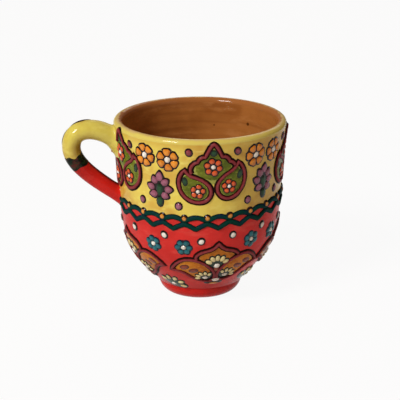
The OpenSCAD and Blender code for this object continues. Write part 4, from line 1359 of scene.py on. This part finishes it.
# Each pod as its side and its lean
POD_PLACES = ((-1, -1.0), (1, 10.0))
POD_SEEDS = ((-0.12, 0.19), (0.06, 0.06))
for turn in PALMETTE_TURNS:
    crown_row = lower_row(CROWN_ROW, turn)
    covers = []
    for side, spin in POD_PLACES:
        outline = pod_line if side < 0 else flipped(pod_line)
        pod_turn = turn + side * POD_TURN
        pod_row = lower_row(POD_ROW, pod_turn)
        whole = moved(hand_drawn(outline), -side * POD_INWARD, pod_row, spin + jitter(1.5))
        middle = (-side * POD_INWARD, pod_row + POD_MIDDLE)
        rope = shrunk(whole, middle, ROPE_W / 2, POD_H)
        covers.append([(x + side * math.radians(POD_TURN) * r_at_run(y), y) for x, y in whole])
        palmette_ropes.draw(rope, pod_turn)
        palmette_fields.fill(rope, middle, pod_turn, ROPED_FIELD_T)
        heart = (-side * 0.28 * POD_W, pod_row - 0.24 * POD_H)
        shade = (-side * 0.25 * POD_W, pod_row - 0.19 * POD_H)
        fan_shades.put(pod_turn, *shade, 0.3 * POD_W, 0.32 * POD_W, base=0.1, tall=0.42)
        fan_petals.fan(pod_turn, *heart, [-side * a for a in POD_FAN], 0.15 * POD_W, 0.075 * POD_W,
                       0.12 * POD_W, FIELD_T)
        fan_hearts.put(pod_turn, *heart, 0.11 * POD_W, 0.09 * POD_W, base=FIELD_T)
        for across, up in POD_SEEDS:
            pod_seeds.put(pod_turn, -side * across * POD_W, pod_row + up * POD_H, 0.11 * POD_W, 0.16 * POD_W,
                          side * 70, FIELD_T, SEED_T)
    crown = moved(hand_drawn(crown_line), 0.0, crown_row, jitter(1.5))
    rope = shrunk(crown, (0.0, crown_row), ROPE_W / 2, CROWN_W)
    palmette_ropes.draw_open(rope, covers, turn)
    palmette_fields.fill(rope, (0.0, crown_row), turn, LEAF_FIELD_T)
    heart_y = crown_row - 0.27 * CROWN_H
    fan_shades.put(turn, 0.0, heart_y + 2.2, 0.62 * CROWN_H, 0.46 * CROWN_H, base=0.05, tall=GROUND_T)
    fan_petals.fan(turn, 0.0, heart_y, CROWN_FAN, 0.28 * CROWN_H, 0.14 * CROWN_H, 0.21 * CROWN_H,
                   LEAF_FIELD_T)
    fan_hearts.put(turn, 0.0, heart_y, 0.17 * CROWN_H, 0.16 * CROWN_H, base=LEAF_FIELD_T)
    # Seed, white heart and ochre drop between the feet of the pods
    pod_seeds.put(turn, 0.2, heart_y - 3.0, 3.2, 4.4, tall=0.5)
    fan_hearts.put(turn, 0.8, pod_row - 0.44 * POD_H, 3.5, 2.8, base=0.7)
    drops.put(turn, 0.3, pod_row - 0.625 * POD_H, 7.2, 2.4, base=0.3)
for turn in gap_turns(PALMETTE_TURNS, (0.5,)):
    row = lower_row(FOOT_FAN_ROW, turn)
    x = math.copysign(FOOT_FAN_SHIFT, math.sin(math.radians(turn - FRONT_TURN)))
    fan_shades.put(turn, x + 0.6, row + 0.5, 1.65 * FOOT_FAN_R, 0.9 * FOOT_FAN_R, FOOT_FAN_LEAN,
                   tall=GROUND_T)
    fan_petals.fan(turn, x, row - 0.4, FOOT_FAN, 0.8 * FOOT_FAN_R, 0.34 * FOOT_FAN_R, 0.54 * FOOT_FAN_R)
    fan_hearts.put(turn, x + 0.4, row - 0.3, 0.36 * FOOT_FAN_R, 0.2 * FOOT_FAN_R, FOOT_FAN_LEAN)
palmette_ropes.lay("palmette_ropes", rope_section, ROPE_T, maroon_rope, "maroon_glaze", "palmette_outlines")
palmette_fields.lay("palmette_ochre_fields", ochre_field, "ochre_glaze", "palmette_fields")
pod_seeds.lay("palmette_brown_seeds", round_form, brown_seed, "maroon_glaze", "palmette_seeds")
drops.lay("palmette_ochre_drops", round_form, bead_glaze, "ochre_glaze")
fan_shades.lay("fan_dark_grounds", round_form, green_drop, "dark_green_glaze")
fan_petals.lay("fan_cream_petals", round_form, cream_petal, "cream_glaze", "fan_petals")
fan_hearts.lay("fan_white_hearts", round_form, white_glaze, "white_glaze", "fan_hearts")


# Handle: rings along an arch and a lower arm, with soft roots on the wall
ARCH = [(-39.61, 77.5), (-46.8, 87.04), (-63.98, 89.5), (-63.98, 77.0)]
LOWER = [(-63.98, 77.0), (-63.98, 68.09), (-52.6, 60.0), (-38.16, 50.0)]
HANDLE_TOP_D = 9.0
HANDLE_LOW_D = 7.2
HANDLE_OVAL = 1.06
LUTING_T = 1.6
LOW_LUTING_T = 0.5
LUTING_LEN = 7.0
ROOT_RUN = 9.0
ROOT_STEPS = 6
SIDES = 48
PATH_STEPS = 60


def path_stations():
    """Points down the middle of the handle, run on straight into the wall at both ends."""
    points = [bezier(ARCH, i / PATH_STEPS) for i in range(PATH_STEPS)]
    points += [bezier(LOWER, i / PATH_STEPS) for i in range(PATH_STEPS + 1)]
    first, last = Vector(ARCH[0]), Vector(LOWER[3])
    inward = (first - Vector(ARCH[1])).normalized() * ROOT_RUN
    onward = (last - Vector(LOWER[2])).normalized() * ROOT_RUN
    before = [tuple(first + inward * (ROOT_STEPS - i) / ROOT_STEPS) for i in range(ROOT_STEPS)]
    after = [tuple(last + onward * (i + 1) / ROOT_STEPS) for i in range(ROOT_STEPS)]
    return before + points + after


stations = path_stations()
ways = [0.0]
for a, b in zip(stations, stations[1:]):
    ways.append(ways[-1] + math.dist(a, b))
HANDLE_LEN = ways[-1]
bend_way = ways[ROOT_STEPS + PATH_STEPS]
lower_way = ways[ROOT_STEPS + 2 * PATH_STEPS]


def along(way):
    """Place and direction of the handle's middle at a distance along it."""
    way = min(max(way, 0.0), HANDLE_LEN - 1e-6)
    i = max(k for k in range(len(ways) - 1) if ways[k] <= way)
    share = (way - ways[i]) / (ways[i + 1] - ways[i])
    (x0, z0), (x1, z1) = stations[i], stations[i + 1]
    previous, following = stations[max(0, i - 1)], stations[min(len(stations) - 1, i + 2)]
    here = (x0 + (x1 - x0) * share, z0 + (z1 - z0) * share)
    run0 = Vector((x1 - previous[0], z1 - previous[1])).normalized()
    run1 = Vector((following[0] - x0, following[1] - z0)).normalized()
    return here, run0.lerp(run1, share).normalized()


TAPER_FROM = 0.55 * bend_way


def clay_radius(way):
    taper = min(1.0, max(0.0, (way - TAPER_FROM) / (lower_way - TAPER_FROM)))
    here, _ = along(way)
    swell = max(thick * max(0.0, 1 - math.dist(here, root) / LUTING_LEN) ** 2
                for thick, root in ((LUTING_T, ARCH[0]), (LOW_LUTING_T, LOWER[3])))
    return (HANDLE_TOP_D + (HANDLE_LOW_D - HANDLE_TOP_D) * taper) / 2 + swell


def on_arm(way, angle, extra):
    """A point on the handle: angle 0 is the back of the loop and 180 its inner side."""
    (x, z), run = along(way)
    radius = clay_radius(way) + extra
    side = (run.y, -run.x)
    c, s = math.cos(angle), math.sin(angle)
    return Vector((x + radius * c * side[0], radius * HANDLE_OVAL * s, z + radius * c * side[1]))


def out_of_wall(point):
    return math.hypot(point.x, point.y) - wall_r(min(point.z, WALL_TOP - 0.01))


HALVINGS = 40


def root_way(angle, buried, free):
    """Distance along the handle at which its side leaves the wall, between a buried and a free place."""
    for _ in range(HALVINGS):
        middle = (buried + free) / 2
        if out_of_wall(on_arm(middle, angle, SLIP_T)) > 0:
            free = middle
        else:
            buried = middle
    return free


FILLET_STEPS = 8
FILLET_SUNK = 0.12
LIP_CLEARANCE = 0.3
# Lengths of a soft root along the arm and along the wall
LOW_ROOT = (3.0, 0.9)
TOP_ROOT = (3.6, 2.0)
TOP_ROOT_UNDER = (4.4, 3.4)


def root_reach(angle, upper):
    """Both lengths of a soft root at one side. The upper root is longest underneath."""
    if not upper:
        return LOW_ROOT
    under = max(0.0, -math.cos(angle))
    return [top + more * under for top, more in zip(TOP_ROOT, TOP_ROOT_UNDER)]


def fillet(way, angle, step):
    """Points from the wall up to the arm, for one side of a root."""
    corner = on_arm(way, angle, SLIP_T)
    arm_reach, wall_reach = root_reach(angle, step > 0)
    start = on_arm(way + step * arm_reach, angle, SLIP_T)
    (x, z), _ = along(way)
    away = corner - Vector((x, 0.0, z))
    flat = Vector((corner.x, corner.y, 0.0)).normalized()
    away -= flat * away.dot(flat)
    foot = corner + away.normalized() * wall_reach
    foot.z = min(foot.z, WALL_TOP - LIP_CLEARANCE)
    turn = math.atan2(foot.y, foot.x)
    radius = wall_r(foot.z) - FILLET_SUNK
    foot = Vector((radius * math.cos(turn), radius * math.sin(turn), foot.z))
    shares = [i / FILLET_STEPS for i in range(FILLET_STEPS + 1)]
    return [foot * (1 - t) ** 2 + corner * 2 * t * (1 - t) + start * t * t for t in shares]


def loft(name, rings, closed, material, **values):
    """A shell through rings of points, joined end to end or capped at its ends."""
    faces = []
    for a in range(len(rings) if closed else len(rings) - 1):
        b = (a + 1) % len(rings)
        for i in range(SIDES):
            k = (i + 1) % SIDES
            faces.append((a * SIDES + i, a * SIDES + k, b * SIDES + k, b * SIDES + i))
    points = [tuple(p) for ring in rings for p in ring]
    if not closed:
        ends = range(len(points))
        faces += [tuple(ends[:SIDES]), tuple(ends[:-SIDES - 1:-1])]
    piece = linked(name, plain_mesh(name, points, faces, **values))
    piece.data.materials.append(material)
    return piece


angles = [math.tau * j / SIDES for j in range(SIDES)]
UPPER_FREE = 0.7 * bend_way
LOWER_FREE = bend_way + 4.0
BAND_FROM = bend_way + 4.3
BAND_TO = bend_way + 11.1
upper_roots = [root_way(a, 0.0, UPPER_FREE) for a in angles]
lower_roots = [root_way(a, HANDLE_LEN - 0.01, LOWER_FREE) for a in angles]


def band_start(a):
    return BAND_FROM + 0.7 * math.sin(3 * a + 0.6) + 0.35 * math.sin(7 * a)


def band_end(a):
    return BAND_TO - 0.6 * math.cos(a) + 0.4 * math.sin(2 * a + 1.0) + 0.25 * math.sin(5 * a)


def arm_rings(starts, ends, steps, extra):
    """Rings between two edges that wander round the arm."""
    return [[on_arm(s + (e - s) * i / steps, a, extra) for a, s, e in zip(angles, starts, ends)]
            for i in range(steps + 1)]


def bend_painted_shade(angle, way):
    """Painted shade darkens the yellow on the inner side of the bend."""
    inner = ease(-0.55, 0.7, -math.cos(angle))
    return inner * ease(9.0, 1.0, abs(way - bend_way - 1.0)) * 0.75


def arm_shade(angle, share):
    """The red is darker along the inner side of the arm, and painted shade darkens it next to the band and
    clears towards the wall.
    """
    inner = 0.85 * ease(0.82, 0.97, -math.cos(angle))
    return max(inner, 0.26 * ease(0.6, 0.0, share))


def shell(name, outer, inner, shades, material, slot, *nodes):
    rings = outer + inner[::-1]
    piece = loft(name, rings, True, material, shade=shades + [0.0] * (len(inner) * SIDES))
    settle(piece, slot, *nodes, crease=TURNED_CREASE)


# Rings along each coat, outside and inside
YELLOW_RINGS, YELLOW_INNER = 44, 20
BAND_RINGS, BAND_INNER = 12, 6
RED_RINGS, RED_INNER = 30, 16
CORE_RINGS = 60
BAND_T = SLIP_T + 0.04
# Run of the coats and of the clay into the wall, and the gap between them
COAT_RUN = 1.0
CORE_RUN = 0.6
CORE_GAP = 0.05

# Yellow coat from the upper root to the dark band
starts = [w + root_reach(a, True)[0] for w, a in zip(upper_roots, angles)]
ends = [band_start(a) for a in angles]
root = list(zip(*(fillet(w, a, 1) for w, a in zip(upper_roots, angles))))[:FILLET_STEPS]
outer = root + arm_rings(starts, ends, YELLOW_RINGS, SLIP_T)
inner = arm_rings([w - COAT_RUN for w in upper_roots], ends, YELLOW_INNER, 0.0)
shades = [0.0] * (FILLET_STEPS * SIDES)
for i in range(YELLOW_RINGS + 1):
    shades += [bend_painted_shade(a, s + (e - s) * i / YELLOW_RINGS) for a, s, e in zip(angles, starts, ends)]
shell("handle_yellow_coat", outer, inner, shades, handle_yellow, "yellow_glaze", "handle_yellow_slip")

# Dark band
starts, ends = ends, [band_end(a) for a in angles]
outer = arm_rings(starts, ends, BAND_RINGS, BAND_T)
inner = arm_rings(starts, ends, BAND_INNER, 0.0)
shades = [0.0] * (len(outer) * SIDES)
shell("handle_dark_glaze_band", outer, inner, shades, band_glaze, "dark_green_glaze", "handle_dark_band")

# Red coat from the dark band to the lower root
starts, ends = ends, [w - root_reach(a, False)[0] for w, a in zip(lower_roots, angles)]
root = list(zip(*(fillet(w, a, -1) for w, a in zip(lower_roots, angles))))[:FILLET_STEPS]
outer = arm_rings(starts, ends, RED_RINGS, SLIP_T) + root[::-1]
inner = arm_rings(starts, [w + COAT_RUN for w in lower_roots], RED_INNER, 0.0)
shades = [arm_shade(a, i / RED_RINGS) for i in range(len(outer)) for a in angles]
shell("handle_red_coat", outer, inner, shades, handle_red, "red_glaze", "handle_red_slip")

# Clay of the handle with its joining clay, under the coats
core = arm_rings([w - CORE_RUN for w in upper_roots], [w + CORE_RUN for w in lower_roots],
                 CORE_RINGS, -CORE_GAP)
handle_clay = loft("handle_clay", core, False, bare_clay)
settle(handle_clay, "fired_clay", "handle", "upper_luting", "lower_luting")

# Painted leaves on the back of the handle
HANDLE_LEAF_L, HANDLE_LEAF_W = 6.4, 3.6
HANDLE_LEAF_SIDES = 20
HANDLE_LEAF_TONE = 0.6
# Rings of a leaf, each as its share, height and lift, and then its peak and the middle of its foot
HANDLE_LEAF_RINGS = ((1.16, -0.15, 0.0), (1.14, 0.08, 0.0), (1.0, 0.16, 0.35), (0.8, 0.3, 0.75),
                     (0.4, 0.38, 1.0))
HANDLE_LEAF_MIDDLES = ((0.4, 1.0), (-0.15, 0.0))
# Each leaf as its share of the arch and its turn round the arm
HANDLE_LEAF_PLACES = ((0.62, 19.0), (0.92, 27.0))
points, faces, lifts = [], [], []
for share_along, leaf_turn in HANDLE_LEAF_PLACES:
    leaf_way, leaf_turn = ways[ROOT_STEPS + round(share_along * PATH_STEPS)], math.radians(leaf_turn)
    faces += dome_faces(len(points), len(HANDLE_LEAF_RINGS), HANDLE_LEAF_SIDES)
    for share, height, lift in HANDLE_LEAF_RINGS:
        for i in range(HANDLE_LEAF_SIDES):
            a = math.tau * i / HANDLE_LEAF_SIDES
            way = leaf_way + HANDLE_LEAF_L / 2 * math.cos(a) * share
            across = HANDLE_LEAF_W / 2 * math.sin(a) * (1 - 0.35 * abs(math.cos(a))) * share
            spin = leaf_turn + across / (clay_radius(way) + SLIP_T)
            points.append(tuple(on_arm(way, spin, SLIP_T + height)))
            lifts.append(lift)
    for height, lift in HANDLE_LEAF_MIDDLES:
        points.append(tuple(on_arm(leaf_way, leaf_turn, SLIP_T + height)))
        lifts.append(lift)
handle_leaves = linked("handle_painted_leaves", plain_mesh(
    "handle_painted_leaves", points, faces, lift=lifts, tone=[HANDLE_LEAF_TONE] * len(points)))
handle_leaves.data.materials.append(leaf_brown)
settle(handle_leaves, "maroon_glaze", "handle_leaves")

for helper in helpers:
    bpy.data.objects.remove(helper, do_unlink=True)


# Floor, light and camera
FLOOR_WHITE = 0.93
FLOOR_TONE = (0.72, 0.70, 0.66, 1.0)
FLOOR_ROUGHNESS = 0.9
FLOOR_SPECULAR = 0.1


def floor_finish():
    """A pale floor that the camera and reflections see as nearly white."""
    material = bpy.data.materials.new("pale_floor")
    material.use_nodes = True
    tree = material.node_tree
    shader = tree.nodes["Principled BSDF"]
    shader.inputs["Base Color"].default_value = FLOOR_TONE
    shader.inputs["Roughness"].default_value = FLOOR_ROUGHNESS
    shader.inputs["Specular IOR Level"].default_value = FLOOR_SPECULAR
    white = add(tree, "ShaderNodeEmission")
    path = add(tree, "ShaderNodeLightPath")
    seen = path.outputs["Is Camera Ray"]
    for kind in ("Is Glossy Ray", "Is Transmission Ray"):
        seen = math_node(tree, "MAXIMUM", seen, path.outputs[kind])
    blend = add(tree, "ShaderNodeMixShader")
    wire(tree,
         (math_node(tree, "MULTIPLY", seen, FLOOR_WHITE), blend.inputs[0]),
         (shader.outputs[0], blend.inputs[1]),
         (white.outputs[0], blend.inputs[2]),
         (blend.outputs[0], tree.nodes["Material Output"].inputs["Surface"]))
    return material


FLOOR_R = 4.0
FLOOR_SIDES = 96
floor_mesh = bpy.data.meshes.new("floor")
work = bmesh.new()
bmesh.ops.create_circle(work, cap_ends=True, radius=FLOOR_R, segments=FLOOR_SIDES)
work.to_mesh(floor_mesh)
work.free()
floor = linked("floor", floor_mesh)
floor_mesh.materials.append(floor_finish())

SKY_TONE = (1.0, 0.71, 0.54, 1.0)
SKY_STRENGTH = 0.27
world = bpy.data.worlds.new("studio")
scene.world = world
world.use_nodes = True
sky = world.node_tree.nodes["Background"].inputs
sky["Color"].default_value = SKY_TONE
sky["Strength"].default_value = SKY_STRENGTH
LAMP_AIM = Vector((0.0, 0.0, 0.045))


def lamp(name, place, size, power):
    data = bpy.data.lights.new(name, "AREA")
    data.energy = power
    data.shape = "RECTANGLE"
    data.size = size
    data.size_y = size
    made = linked(name, data)
    made.location = place
    made.rotation_mode = "QUATERNION"
    made.rotation_quaternion = (LAMP_AIM - Vector(place)).to_track_quat("-Z", "Y")


lamp("key", (-0.85, -0.7, 0.9), 0.4, 16.0)
lamp("fill", (0.8, -0.9, 0.6), 0.6, 0.4)
lamp("back", (0.3, 0.9, 0.8), 0.6, 1.6)

CAMERA_TURN = math.radians(-7.5)
CAMERA_RISE = math.radians(18.06)
CAMERA_FAR = 0.8
CAMERA_LENS = 142.8
CAMERA_SENSOR = 36.0
camera_aim = Vector((0.0, 0.0, 0.0467))
camera_back = Vector((math.sin(CAMERA_TURN) * math.cos(CAMERA_RISE),
                      -math.cos(CAMERA_TURN) * math.cos(CAMERA_RISE), math.sin(CAMERA_RISE)))
camera_data = bpy.data.cameras.new("camera")
camera_data.lens = CAMERA_LENS
camera_data.sensor_width = CAMERA_SENSOR
camera = linked("camera", camera_data)
camera.location = camera_aim + camera_back * CAMERA_FAR
camera.rotation_mode = "QUATERNION"
camera.rotation_quaternion = (-camera_back).to_track_quat("-Z", "Y")
scene.camera = camera
scene.view_settings.view_transform = "Standard"
